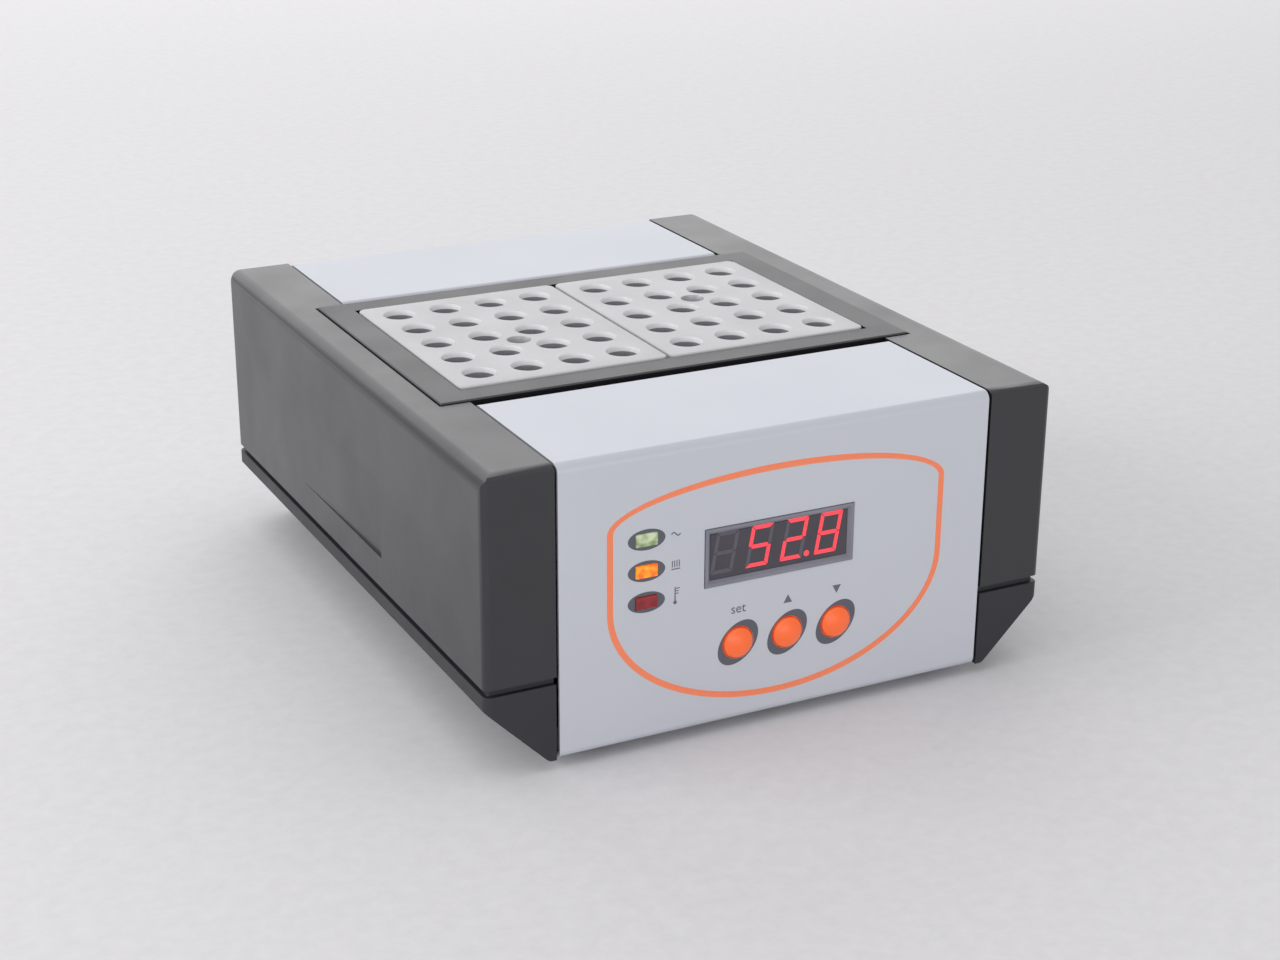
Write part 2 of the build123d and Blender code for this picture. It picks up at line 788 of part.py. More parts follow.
with BuildPart() as board_pillars:
    with BuildSketch(facing(panel_back)):
        with Locations(board_centre):
            with GridLocations(*pillar_pitch, 2, 2):
                RegularPolygon(board_pillar_across / 2, 6)
    extrude(amount=-(board_front - panel_back))
board_pillars.part.label = "board_pillars"

with BuildPart() as button_switches:
    with BuildSketch(facing(board_front)):
        with Locations(*button_points):
            Rectangle(switch_side, switch_side)
    extrude(amount=switch_height)
    with BuildSketch(facing(board_front - switch_height)):
        with Locations(*button_points):
            Rectangle(plunger_side, plunger_side)
    extrude(amount=plunger_height)
button_switches.part.label = "button_switches"

# Power board on its posts, and the parts on it
with BuildPart() as power_board:
    with BuildSketch(level(power_board_bottom)):
        with Locations((power_board_left, power_board_front)):
            Rectangle(power_board_width, power_board_depth, align=(Align.MIN, Align.MIN))
    extrude(amount=board_thickness)
power_board.part.label = "power_board"

with BuildPart() as transformer:
    with BuildSketch(facing(power_board_middle - transformer_core / 2)):
        with Locations((transformer_x, power_board_top)):
            Rectangle(
                transformer_width, transformer_height, align=(Align.CENTER, Align.MIN)
            )
    extrude(amount=-transformer_core)
    with BuildSketch(facing(power_board_middle - transformer_coil / 2)):
        with Locations((transformer_x, power_board_top + transformer_height / 2)):
            Rectangle(
                transformer_width - 2 * transformer_window,
                transformer_height - 2 * transformer_window,
            )
    extrude(amount=-transformer_coil)
transformer.part.label = "transformer"

sink_pitch = (sink_width - sink_fin) / (sink_fins - 1)

with BuildPart() as heat_sink:
    with BuildSketch(level(power_board_top)):
        with Locations((sink_x, power_board_back)):
            Rectangle(sink_width, sink_base, align=(Align.CENTER, Align.MAX))
        with Locations((sink_x, power_board_back - sink_base)):
            with GridLocations(sink_pitch, 0, sink_fins, 1):
                Rectangle(sink_fin, sink_depth - sink_base, align=(Align.CENTER, Align.MAX))
    extrude(amount=sink_height)
heat_sink.part.label = "heat_sink"

triac_back = power_board_back - sink_depth

with BuildPart() as triac:
    with BuildSketch(level(power_board_top)):
        with Locations((sink_x, triac_back)):
            Rectangle(triac_width, triac_tab, align=(Align.CENTER, Align.MAX))
    extrude(amount=triac_height)
    with BuildSketch(level(power_board_top)):
        with Locations((sink_x, triac_back)):
            Rectangle(triac_width, triac_body, align=(Align.CENTER, Align.MAX))
    extrude(amount=triac_body_height)
triac.part.label = "triac"

with BuildPart() as relay:
    with BuildSketch(level(power_board_top)):
        with Locations((terminal_x, power_board_back - terminal_depth - part_gap)):
            Rectangle(relay_width, relay_depth, align=(Align.CENTER, Align.MAX))
    extrude(amount=relay_height)
relay.part.label = "relay"

with BuildPart() as capacitors:
    with BuildSketch(level(power_board_top)):
        with Locations((sink_x, power_board_middle - power_board_depth / 4)):
            with GridLocations(capacitor_length + capacitor_depth / 2, 0, 2, 1):
                Rectangle(capacitor_length, capacitor_depth)
    extrude(amount=capacitor_height)
capacitors.part.label = "capacitors"

with BuildPart() as terminal_block:
    with BuildSketch(level(power_board_top)):
        with Locations((terminal_x, power_board_back)):
            Rectangle(terminal_width, terminal_depth, align=(Align.CENTER, Align.MAX))
    extrude(amount=terminal_height)
    with BuildSketch(facing(power_board_back)):
        with Locations((terminal_x, power_board_top + terminal_height / 2)):
            with GridLocations(terminal_width / terminal_ways, 0, terminal_ways, 1):
                Rectangle(terminal_entry, terminal_entry)
    extrude(amount=terminal_entry_depth, mode=Mode.SUBTRACT)
terminal_block.part.label = "terminal_block"

# Ribbon cable from the display board down to the power board
with BuildPart() as ribbon_cable:
    with BuildSketch(Plane.YZ.offset(ribbon_x - ribbon_width / 2)):
        with BuildLine():
            ribbon_turn = board_back + 2 * ribbon_bend
            ribbon_level = power_board_top + ribbon_start
            FilletPolyline(
                (board_back, ribbon_level),
                (ribbon_turn, ribbon_level),
                (ribbon_turn, power_board_top),
                radius=ribbon_bend,
            )
        trace(line_width=ribbon_thickness)
    extrude(amount=ribbon_width)
ribbon_cable.part.label = "ribbon_cable"

# Flat looms: terminal block to the switch, switch to the inlet, terminal block to the cut-out
loom_level = power_board_top + loom_thickness
switch_tab_y = back - switch_depth - tab_length
inlet_tab_y = back - inlet_body_depth - pin_tab
switch_tab_rise = switch_tall / 6

with BuildPart() as mains_loom:
    with BuildSketch(Plane.YZ.offset(switch_x - loom_width / 2)):
        with BuildLine():
            mains_turn = switch_tab_y - 2 * loom_bend
            mains_end = inlet_z - switch_tab_rise
            FilletPolyline(
                (power_board_back, loom_level),
                (mains_turn, loom_level),
                (mains_turn, mains_end),
                (switch_tab_y, mains_end),
                radius=loom_bend,
            )
        trace(line_width=loom_thickness)
    extrude(amount=loom_width)
mains_loom.part.label = "mains_loom"

with BuildPart() as inlet_loom:
    with BuildSketch(level(inlet_z + switch_tab_rise - loom_width / 2)):
        with BuildLine():
            inlet_turn = inlet_tab_y - 2 * loom_bend
            FilletPolyline(
                (switch_x, switch_tab_y),
                (switch_x, inlet_turn),
                (inlet_x - pin_spread, inlet_turn),
                (inlet_x - pin_spread, inlet_tab_y),
                radius=loom_bend,
            )
        trace(line_width=loom_thickness)
    extrude(amount=loom_width)
inlet_loom.part.label = "inlet_loom"

with BuildPart() as heater_loom:
    with BuildSketch(Plane.YZ.offset(cutout_x - cutout_side / 4 - loom_width / 2)):
        with BuildLine():
            FilletPolyline(
                (power_board_back, loom_level),
                (block_y, loom_level),
                (block_y, clamp_bottom - cutout_height - cutout_tab_length),
                radius=loom_bend,
            )
        trace(line_width=loom_thickness)
    extrude(amount=loom_width)
heater_loom.part.label = "heater_loom"

# Power inlet with a fuse drawer under its socket
inlet_low = inlet_z - inlet_body_height / 2
drawer_z = inlet_low + inlet_wall + drawer_fit + drawer_height / 2
socket_z = inlet_low + inlet_body_height - inlet_wall - socket_height / 2

# The two line pins sit under the earth pin.
pin_points = [
    (inlet_x - pin_spread, socket_z - pin_drop),
    (inlet_x + pin_spread, socket_z - pin_drop),
    (inlet_x, socket_z + pin_drop),
]

with BuildPart() as power_inlet:
    with BuildSketch(facing(back)):
        with Locations((inlet_x, inlet_z)):
            Rectangle(inlet_body_width + 2 * inlet_rim, inlet_body_height + 2 * inlet_rim)
    extrude(amount=-inlet_proud)
    with BuildSketch(facing(back)):
        with Locations((inlet_x, inlet_z)):
            Rectangle(inlet_body_width, inlet_body_height)
    extrude(amount=inlet_body_depth)
    with BuildSketch(facing(back + inlet_proud)) as socket:
        with Locations((inlet_x, socket_z)):
            Rectangle(socket_width, socket_height)
        chamfer(socket.vertices().group_by(Axis.Y)[-1], socket_corner)
    extrude(amount=socket_depth, mode=Mode.SUBTRACT)
    with BuildSketch(facing(back + inlet_proud)):
        with Locations((inlet_x, drawer_z)):
            Rectangle(drawer_width + 2 * drawer_fit, drawer_height + 2 * drawer_fit)
    extrude(amount=drawer_depth + drawer_fit, mode=Mode.SUBTRACT)
    with BuildSketch(facing(back - inlet_body_depth)):
        with Locations(*pin_points):
            Rectangle(pin_width, pin_height)
    extrude(amount=-inlet_body_depth, mode=Mode.SUBTRACT)
power_inlet.part.label = "power_inlet"

with BuildPart() as inlet_pins:
    with BuildSketch(facing(inlet_tab_y)):
        with Locations(*pin_points):
            Rectangle(pin_width, pin_height)
    extrude(amount=-(pin_tab + inlet_body_depth + inlet_proud - socket_depth + pin_length))
inlet_pins.part.label = "inlet_pins"

with BuildPart() as fuse_drawer:
    with BuildSketch(facing(back + inlet_proud)):
        with Locations((inlet_x, drawer_z)):
            Rectangle(drawer_width, drawer_height)
    extrude(amount=drawer_depth)
    with BuildSketch(level(drawer_z + drawer_height / 2)):
        with Locations((inlet_x, back + inlet_proud - drawer_depth / 2)):
            Rectangle(drawer_width - 2 * drawer_wall, drawer_depth - 2 * drawer_wall)
    extrude(amount=-(drawer_height - drawer_wall), mode=Mode.SUBTRACT)
fuse_drawer.part.label = "fuse_drawer"

with BuildPart() as fuses:
    with BuildSketch(Plane.YZ.offset(inlet_x - fuse_length / 2)):
        fuse_z = drawer_z - drawer_height / 2 + drawer_wall + fuse_radius
        with Locations((back + inlet_proud - drawer_depth / 2, fuse_z)):
            with GridLocations(2 * fuse_radius + drawer_wall, 0, 2, 1):
                RegularPolygon(fuse_radius, fuse_sides, major_radius=False, rotation=180 / fuse_sides)
    extrude(amount=fuse_length)
fuses.part.label = "fuses"

# Rocker switch: a snap-in body with an open frame, and the rocker that tips in it
switch_inner_width = switch_width - 2 * switch_frame - 2 * switch_body_side
switch_inner_tall = switch_tall - 2 * switch_frame - 2 * switch_body_side

with BuildPart() as switch_body:
    with BuildSketch(facing(back)):
        with Locations((switch_x, inlet_z)):
            Rectangle(switch_width, switch_tall)
    extrude(amount=-switch_proud)
    with BuildSketch(facing(back)):
        with Locations((switch_x, inlet_z)):
            Rectangle(
                switch_width - 2 * switch_body_side - 2 * drawer_fit,
                switch_tall - 2 * switch_body_side - 2 * drawer_fit,
            )
    extrude(amount=switch_depth)
    with BuildSketch(facing(back + switch_proud)):
        with Locations((switch_x, inlet_z)):
            Rectangle(switch_inner_width, switch_inner_tall)
    extrude(amount=switch_proud + switch_depth - switch_frame, mode=Mode.SUBTRACT)
    with BuildSketch(facing(back - switch_depth)):
        with Locations((switch_x, inlet_z)):
            with GridLocations(0, 2 * switch_tab_rise, 1, 2):
                Rectangle(tab_width, tab_thickness)
    extrude(amount=tab_length)
switch_body.part.label = "switch_body"

# The rocker is a slice of a cylinder that clears its frame. At rest its upper half is pressed in.
rocker_radius = switch_inner_tall / 2 - rocker_fit
rocker_hinge_y = back - rocker_reach
rocker_width = switch_inner_width - 2 * rocker_fit

with BuildPart() as rocker_level:
    with BuildSketch(Plane.YZ.offset(switch_x - rocker_width / 2)):
        with Locations((rocker_hinge_y, inlet_z)):
            Circle(rocker_radius)
            Rectangle(2 * rocker_reach, 2 * rocker_radius, mode=Mode.INTERSECT)
    extrude(amount=rocker_width)

with BuildPart() as power_rocker:
    add(rocker_level.part.rotate(Axis((switch_x, rocker_hinge_y, inlet_z), (1, 0, 0)), rocker_tilt))
power_rocker.part.label = "power_rocker"

# Earth tab: a blade on a square foot on the inside of the rear panel
with BuildPart() as earth_tab:
    with BuildSketch(facing(back - cover_sheet)):
        with Locations((earth_x, earth_z)):
            Rectangle(earth_foot, earth_foot)
    extrude(amount=tab_thickness)
    with BuildSketch(facing(back - cover_sheet)):
        with Locations((earth_x, earth_z)):
            Rectangle(tab_thickness, tab_width)
    extrude(amount=tab_length)
earth_tab.part.label = "earth_tab"

# Feet: square tapered rubber pads stuck under the tray
with BuildPart() as rubber_feet:
    with BuildSketch(level(foot_height)):
        with Locations((0, (front + back) / 2)):
            with GridLocations(foot_spread, case_depth - 2 * foot_inset, 2, 2):
                Rectangle(foot_side, foot_side)
    extrude(amount=-foot_height, taper=foot_taper)
rubber_feet.part.label = "rubber_feet"

export_step(base_tray.part, "parts/base_tray.step")
export_step(left_cheek.part, "parts/left_cheek.step")
export_step(right_cheek.part, "parts/right_cheek.step")
export_step(front_cover.part, "parts/front_cover.step")
export_step(rear_cover.part, "parts/rear_cover.step")
export_step(well_bezel.part, "parts/well_bezel.step")
export_step(block_left.part, "parts/block_left.step")
export_step(block_right.part, "parts/block_right.step")
export_step(well_liner.part, "parts/well_liner.step")
export_step(heater_plate.part, "parts/heater_plate.step")
export_step(plate_sensor.part, "parts/plate_sensor.step")
export_step(heater_mat.part, "parts/heater_mat.step")
export_step(clamp_plate.part, "parts/clamp_plate.step")
export_step(insulation_board.part, "parts/insulation_board.step")
export_step(thermal_cutout.part, "parts/thermal_cutout.step")
export_step(insulation_wrap.part, "parts/insulation_wrap.step")
export_step(heater_pan.part, "parts/heater_pan.step")
export_step(pan_pillars.part, "parts/pan_pillars.step")
export_step(display_bezel.part, "parts/display_bezel.step")
export_step(display_window.part, "parts/display_window.step")
export_step(display_module.part, "parts/display_module.step")
export_step(display_board.part, "parts/display_board.step")
export_step(board_pillars.part, "parts/board_pillars.step")
export_step(button_switches.part, "parts/button_switches.step")
export_step(power_board.part, "parts/power_board.step")
export_step(transformer.part, "parts/transformer.step")
export_step(heat_sink.part, "parts/heat_sink.step")
export_step(triac.part, "parts/triac.step")
export_step(relay.part, "parts/relay.step")
export_step(capacitors.part, "parts/capacitors.step")
export_step(terminal_block.part, "parts/terminal_block.step")
export_step(ribbon_cable.part, "parts/ribbon_cable.step")
export_step(mains_loom.part, "parts/mains_loom.step")
export_step(inlet_loom.part, "parts/inlet_loom.step")
export_step(heater_loom.part, "parts/heater_loom.step")
export_step(power_inlet.part, "parts/power_inlet.step")
export_step(inlet_pins.part, "parts/inlet_pins.step")
export_step(fuse_drawer.part, "parts/fuse_drawer.step")
export_step(fuses.part, "parts/fuses.step")
export_step(switch_body.part, "parts/switch_body.step")
export_step(power_rocker.part, "parts/power_rocker.step")
export_step(earth_tab.part, "parts/earth_tab.step")
export_step(rubber_feet.part, "parts/rubber_feet.step")
for name, lamp in lamps.items():
    export_step(lamp.part, f"parts/{name}.step")
for name, button in buttons.items():
    export_step(button.part, f"parts/{name}.step")
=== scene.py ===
import json
import math

import bmesh
import bpy
from mathutils import Matrix, Vector


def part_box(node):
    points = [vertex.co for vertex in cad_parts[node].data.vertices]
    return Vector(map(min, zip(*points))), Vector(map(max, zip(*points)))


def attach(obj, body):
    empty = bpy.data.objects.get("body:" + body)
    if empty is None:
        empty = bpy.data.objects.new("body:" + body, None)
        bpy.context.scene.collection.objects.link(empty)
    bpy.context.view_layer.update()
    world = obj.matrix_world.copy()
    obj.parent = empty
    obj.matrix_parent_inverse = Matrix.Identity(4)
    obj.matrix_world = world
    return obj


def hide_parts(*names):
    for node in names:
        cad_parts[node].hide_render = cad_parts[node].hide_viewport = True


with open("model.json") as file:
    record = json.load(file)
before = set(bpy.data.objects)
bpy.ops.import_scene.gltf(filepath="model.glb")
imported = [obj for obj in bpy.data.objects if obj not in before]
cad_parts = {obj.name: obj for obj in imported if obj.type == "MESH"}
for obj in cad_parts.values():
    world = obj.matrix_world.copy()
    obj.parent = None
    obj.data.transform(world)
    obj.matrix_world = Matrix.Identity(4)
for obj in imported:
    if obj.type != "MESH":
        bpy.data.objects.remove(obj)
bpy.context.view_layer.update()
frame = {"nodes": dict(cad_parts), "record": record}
nodes = frame["nodes"]

MM = 0.001

# The camera of the photograph: its place, its three directions and its focal length in pixels
PHOTO_WIDTH = 1280
SENSOR_WIDTH = 36.0
FOCAL_PIXELS = 2273.45
CAMERA_PLACE = Vector((-333.63, -685.08, 333.74)) * MM
CAMERA_RIGHT = Vector((0.89343553, -0.44916945, 0.00444473))
CAMERA_DOWN = Vector((-0.15756379, -0.32264308, -0.93331404))
CAMERA_FORWARD = Vector((0.42065022, 0.83315559, -0.35903363))


def make_camera():
    """Stands the camera where the photograph was taken from."""
    data = bpy.data.cameras.new("camera")
    data.sensor_width = SENSOR_WIDTH
    data.lens = FOCAL_PIXELS * SENSOR_WIDTH / PHOTO_WIDTH
    data.clip_start = 0.05
    data.clip_end = 50.0
    camera = bpy.data.objects.new("camera", data)
    bpy.context.scene.collection.objects.link(camera)
    turn = Matrix((CAMERA_RIGHT, -CAMERA_DOWN, -CAMERA_FORWARD)).transposed().to_4x4()
    camera.matrix_world = Matrix.Translation(CAMERA_PLACE) @ turn
    bpy.context.scene.camera = camera


make_camera()

# Sizes read from the frame
front_low, front_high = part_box("front_cover")
rear_low, rear_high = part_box("rear_cover")
panel_y = front_low.y
rear_y = rear_high.y
foot_top = front_low.z
window_low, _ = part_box("display_window")
window_y = window_low.y


# Materials
def linear(red, green, blue):
    """Scene colour of an sRGB colour given in 0 to 255."""
    def channel(value):
        share = value / 255
        return share / 12.92 if share <= 0.04045 else ((share + 0.055) / 1.055) ** 2.4
    return (channel(red), channel(green), channel(blue), 1.0)


def shade(colour, factor):
    """A lighter or darker copy of a colour."""
    return tuple(min(1.0, value * factor) for value in colour[:3]) + (1.0,)


class Finish:
    """A procedural material: a Principled shader with helpers that vary its colour, gloss and relief."""

    def __init__(self, name, colour, roughness, metallic=0.0):
        self.material = bpy.data.materials.new(name)
        self.material.use_nodes = True
        self.tree = self.material.node_tree
        self.shader = self.tree.nodes["Principled BSDF"]
        self.colour = colour
        self.roughness = roughness
        self.shader.inputs["Base Color"].default_value = colour
        self.shader.inputs["Roughness"].default_value = roughness
        self.shader.inputs["Metallic"].default_value = metallic
        self.place = self.tree.nodes.new("ShaderNodeTexCoord")
        self.last_relief = None

    def link(self, source, target):
        self.tree.links.new(source, target)

    def noise(self, scale, detail=4.0, roughness=0.55, stretch=(1, 1, 1)):
        """Noise over the object's own metres; stretch squeezes it along an axis."""
        mapping = self.tree.nodes.new("ShaderNodeMapping")
        mapping.inputs["Scale"].default_value = stretch
        self.link(self.place.outputs["Object"], mapping.inputs["Vector"])
        texture = self.tree.nodes.new("ShaderNodeTexNoise")
        texture.inputs["Scale"].default_value = scale
        texture.inputs["Detail"].default_value = detail
        texture.inputs["Roughness"].default_value = roughness
        self.link(mapping.outputs["Vector"], texture.inputs["Vector"])
        return texture.outputs["Fac"]

    def spread(self, value, low, high, start=0.3, end=0.7):
        """Maps a value between start and end to low and high."""
        node = self.tree.nodes.new("ShaderNodeMapRange")
        node.inputs["From Min"].default_value = start
        node.inputs["From Max"].default_value = end
        node.inputs["To Min"].default_value = low
        node.inputs["To Max"].default_value = high
        self.link(value, node.inputs["Value"])
        return node.outputs["Result"]

    def blend_colours(self, value, dark, light):
        """Colour between two colours by a value from 0 to 1."""
        node = self.tree.nodes.new("ShaderNodeMix")
        node.data_type = "RGBA"
        node.inputs["A"].default_value = dark
        node.inputs["B"].default_value = light
        self.link(value, node.inputs["Factor"])
        return node.outputs["Result"]

    def vary_colour(self, scale, amount, stretch=(1, 1, 1)):
        """Base colour that drifts by amount either way."""
        value = self.spread(self.noise(scale, stretch=stretch), 0.0, 1.0)
        dark = shade(self.colour, 1 - amount)
        light = shade(self.colour, 1 + amount)
        self.link(self.blend_colours(value, dark, light), self.shader.inputs["Base Color"])
        return self

    def vary_roughness(self, scale, amount, stretch=(1, 1, 1)):
        """Roughness that drifts by amount either way, as handled surfaces do."""
        value = self.noise(scale, stretch=stretch)
        spread = self.spread(value, self.roughness - amount, self.roughness + amount)
        self.link(spread, self.shader.inputs["Roughness"])
        return self

    def relief(self, scale, depth, strength=1.0, detail=2.0, stretch=(1, 1, 1)):
        """Fine surface texture, depth in metres."""
        bump = self.tree.nodes.new("ShaderNodeBump")
        bump.inputs["Strength"].default_value = strength
        bump.inputs["Distance"].default_value = depth
        self.link(self.noise(scale, detail=detail, stretch=stretch), bump.inputs["Height"])
        if self.last_relief is not None:
            self.link(self.last_relief, bump.inputs["Normal"])
        self.last_relief = bump.outputs["Normal"]
        self.link(self.last_relief, self.shader.inputs["Normal"])
        return self

    def coat(self, weight, roughness):
        self.shader.inputs["Coat Weight"].default_value = weight
        self.shader.inputs["Coat Roughness"].default_value = roughness
        return self

    def sheen(self, level):
        self.shader.inputs["Specular IOR Level"].default_value = level
        return self

    def glow(self, colour, strength):
        self.shader.inputs["Emission Color"].default_value = colour
        self.shader.inputs["Emission Strength"].default_value = strength
        return self


def moulded(name, colour, roughness, grain=2600.0, depth=0.00002):
    """Moulded plastic: fine spark texture, faint clouding and uneven gloss."""
    made = Finish(name, colour, roughness)
    return made.vary_colour(60.0, 0.06).vary_roughness(35.0, 0.05).relief(grain, depth, strength=0.5)


def sheet_metal(name, colour, roughness, metallic=1.0, stretch=(1, 1, 1)):
    """Bare sheet or turned metal with a drawn grain."""
    made = Finish(name, colour, roughness, metallic)
    return made.vary_colour(220.0, 0.07, stretch).vary_roughness(160.0, 0.07, stretch)


def make_finishes():
    """One material for each slot of the record, and those of the prints and marks."""
    found = {}
    charcoal = linear(38, 39, 44)
    found["cheek_plastic"] = moulded("cheek_plastic", charcoal, 0.38).sheen(0.5).coat(0.3, 0.3)
    found["tray_plastic"] = moulded("tray_plastic", shade(charcoal, 1.1), 0.48)
    silver = Finish("cover_silver", linear(205, 208, 216), 0.42, 0.2)
    silver.vary_colour(9.0, 0.02).vary_roughness(14.0, 0.03)
    silver.relief(3800.0, 0.000006, strength=0.35).sheen(0.2)
    found["cover_silver"] = silver
    bezel = Finish("bezel_satin", linear(62, 61, 64), 0.44, 0.1)
    bezel.vary_colour(40.0, 0.05).vary_roughness(30.0, 0.04).relief(3000.0, 0.000008, strength=0.4)
    found["bezel_satin"] = bezel.sheen(0.75)
    # Near-black finish for the bezel's upright faces: painted shade of the gaps round the bezel
    edge = Finish("bezel_edge", linear(14, 14, 18), 0.6).sheen(0.2)
    found["bezel_edge"] = edge.vary_colour(40.0, 0.1)
    block = Finish("block_aluminium", linear(196, 195, 197), 0.42, 0.15)
    block.vary_colour(30.0, 0.03).vary_roughness(45.0, 0.06).relief(2400.0, 0.00001, strength=0.4)
    found["block_aluminium"] = block.sheen(0.2)
    # Near-white copy of the block aluminium for the countersunk mouths: painted highlight
    mouth = Finish("well_mouth_painted_highlight", linear(240, 240, 241), 0.35)
    found["well_mouth_painted_highlight"] = mouth.vary_colour(30.0, 0.03).vary_roughness(45.0, 0.05)
    # Grey copy of the block aluminium for the probe hole: painted shade inside the hole
    probe = Finish("probe_bore_painted_shade", linear(188, 188, 190), 0.45, 0.2)
    found["probe_bore_painted_shade"] = probe.vary_colour(200.0, 0.08).vary_roughness(45.0, 0.05)
    # Darker copy of the block aluminium for the wells' bores: painted shade inside the wells
    bore = Finish("well_bore_painted_shade", linear(146, 147, 152), 0.5, 0.3)
    bore.vary_colour(30.0, 0.05).vary_roughness(45.0, 0.06).relief(2400.0, 0.00001, strength=0.4)
    found["well_bore_painted_shade"] = bore
    found["inner_aluminium"] = sheet_metal("inner_aluminium", linear(200, 200, 202), 0.4)
    found["inner_steel"] = sheet_metal("inner_steel", linear(186, 187, 188), 0.36, stretch=(1, 8, 1))
    found["pillar_brass"] = sheet_metal("pillar_brass", linear(206, 190, 140), 0.3)
    found["heater_silicone"] = moulded("heater_silicone", linear(176, 88, 52), 0.6, 900.0)
    felt = Finish("insulation_felt", linear(214, 210, 200), 0.95)
    felt.vary_colour(180.0, 0.12).relief(700.0, 0.0005, strength=0.8, detail=6.0)
    found["insulation_felt"] = felt
    found["black_plastic"] = moulded("black_plastic", linear(38, 38, 40), 0.5)
    found["display_frame"] = moulded("display_frame", linear(132, 133, 144), 0.36)
    glass = Finish("display_glass", linear(58, 54, 64), 0.16)
    found["display_glass"] = glass.vary_colour(90.0, 0.08).coat(0.6, 0.04)
    found["lamp_green"] = lens_finish("lamp_green", linear(126, 150, 98), linear(196, 210, 172), 0.2)
    found["lamp_amber"] = lens_finish("lamp_amber", linear(226, 96, 0), linear(255, 158, 18), 0.55)
    found["lamp_red"] = lens_finish("lamp_red", linear(122, 6, 16), linear(150, 26, 34), 0.12)
    button = Finish("button_orange", linear(255, 112, 54), 0.36)
    button.vary_colour(300.0, 0.03).vary_roughness(200.0, 0.05).relief(1800.0, 0.00001, strength=0.4)
    # The caps also glow a little: painted light that brightens the orange beyond what the lamps give
    found["button_orange"] = button.glow(linear(255, 96, 40), 0.14)
    found["board_green"] = moulded("board_green", linear(40, 98, 60), 0.35, 900.0)
    found["transformer_iron"] = sheet_metal("transformer_iron", linear(92, 88, 86), 0.5, 0.6, (1, 1, 30))
    found["relay_blue"] = moulded("relay_blue", linear(40, 74, 150), 0.4)
    found["capacitor_yellow"] = moulded("capacitor_yellow", linear(214, 178, 60), 0.4)
    found["terminal_green"] = moulded("terminal_green", linear(58, 128, 84), 0.45)
    ribbon = Finish("ribbon_grey", linear(168, 168, 170), 0.5)
    found["ribbon_grey"] = ribbon.vary_colour(1200.0, 0.12, (1, 0.05, 0.05))
    found["loom_white"] = moulded("loom_white", linear(206, 206, 200), 0.55)
    found["inlet_black"] = moulded("inlet_black", linear(34, 34, 36), 0.34)
    found["fuse_glass"] = sheet_metal("fuse_glass", linear(206, 208, 210), 0.2, 0.3)
    found["foot_rubber"] = moulded("foot_rubber", linear(36, 36, 37), 0.75, 1200.0, 0.00006)
    found["ink_orange"] = ink("ink_orange", linear(255, 138, 96))
    found["ink_grey"] = ink("ink_grey", linear(92, 93, 103))
    found["ink_legend"] = ink("ink_legend", linear(104, 105, 114))
    lit = Finish("segment_lit", linear(200, 40, 50), 0.4)
    found["segment_lit"] = lit.vary_colour(500.0, 0.05).glow(linear(250, 72, 84), 0.86)
    unlit = Finish("segment_unlit", linear(92, 89, 99), 0.3)
    found["segment_unlit"] = unlit.vary_colour(500.0, 0.05)
    found["screw_steel"] = sheet_metal("screw_steel", linear(176, 177, 180), 0.3)
    return {name: made.material for name, made in found.items()}


def ink(name, colour):
    """Screen-printed ink: matt, with faint uneven cover."""
    return Finish(name, colour, 0.5).vary_colour(700.0, 0.03).relief(4000.0, 0.000004, strength=0.3)


def lens_finish(name, edge, middle, strength):
    """A lit or dark translucent lens: brighter clouds in its middle."""
    made = Finish(name, edge, 0.22).coat(0.5, 0.08)
    value = made.spread(made.noise(420.0, detail=1.0), 0.0, 1.0, 0.35, 0.65)
    colour = made.blend_colours(value, edge, middle)
    made.link(colour, made.shader.inputs["Base Color"])
    made.link(colour, made.shader.inputs["Emission Color"])
    made.shader.inputs["Emission Strength"].default_value = strength
    return made


finishes = make_finishes()
slot_of = {part["node"]: part["material_slot"] for part in frame["record"]["subparts"]}


# Meshes
def new_piece(name, mesh_data, slot, body="case", smooth_angle=None):
    """Links a mesh as a piece with its material, its body and its slot's finish."""
    piece = bpy.data.objects.new(name, mesh_data)
    bpy.context.scene.collection.objects.link(piece)
    piece.data.materials.append(finishes[slot])
    if smooth_angle is not None:
        smooth(piece, smooth_angle)
    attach(piece, body)
    return piece


def smooth(piece, degrees):
    """Shades a piece smooth across edges flatter than the angle."""
    for polygon in piece.data.polygons:
        polygon.use_smooth = True
    split = piece.modifiers.new("sharp_edges", "EDGE_SPLIT")
    split.split_angle = math.radians(degrees)
    split.use_edge_sharp = False


def mesh_from(name, build):
    """Runs build on an empty bmesh and returns the mesh."""
    work = bmesh.new()
    build(work)
    bmesh.ops.recalc_face_normals(work, faces=work.faces)
    data = bpy.data.meshes.new(name)
    work.to_mesh(data)
    work.free()
    return data


def evaluated_mesh(holder):
    """The mesh of an object with its modifiers applied."""
    bpy.context.view_layer.update()
    shown = holder.evaluated_get(bpy.context.evaluated_depsgraph_get())
    return bpy.data.meshes.new_from_object(shown)


def cut_mesh(name, blank_mesh, cutter_mesh):
    """The first mesh less the second."""
    blank = bpy.data.objects.new(name + "_blank", blank_mesh)
    cutter = bpy.data.objects.new(name + "_cutter", cutter_mesh)
    for holder in (blank, cutter):
        bpy.context.scene.collection.objects.link(holder)
    cut = blank.modifiers.new("cut", "BOOLEAN")
    cut.operation = "DIFFERENCE"
    cut.solver = "EXACT"
    cut.object = cutter
    data = evaluated_mesh(blank)
    bpy.data.objects.remove(blank)
    bpy.data.objects.remove(cutter)
    data.materials.clear()
    return data


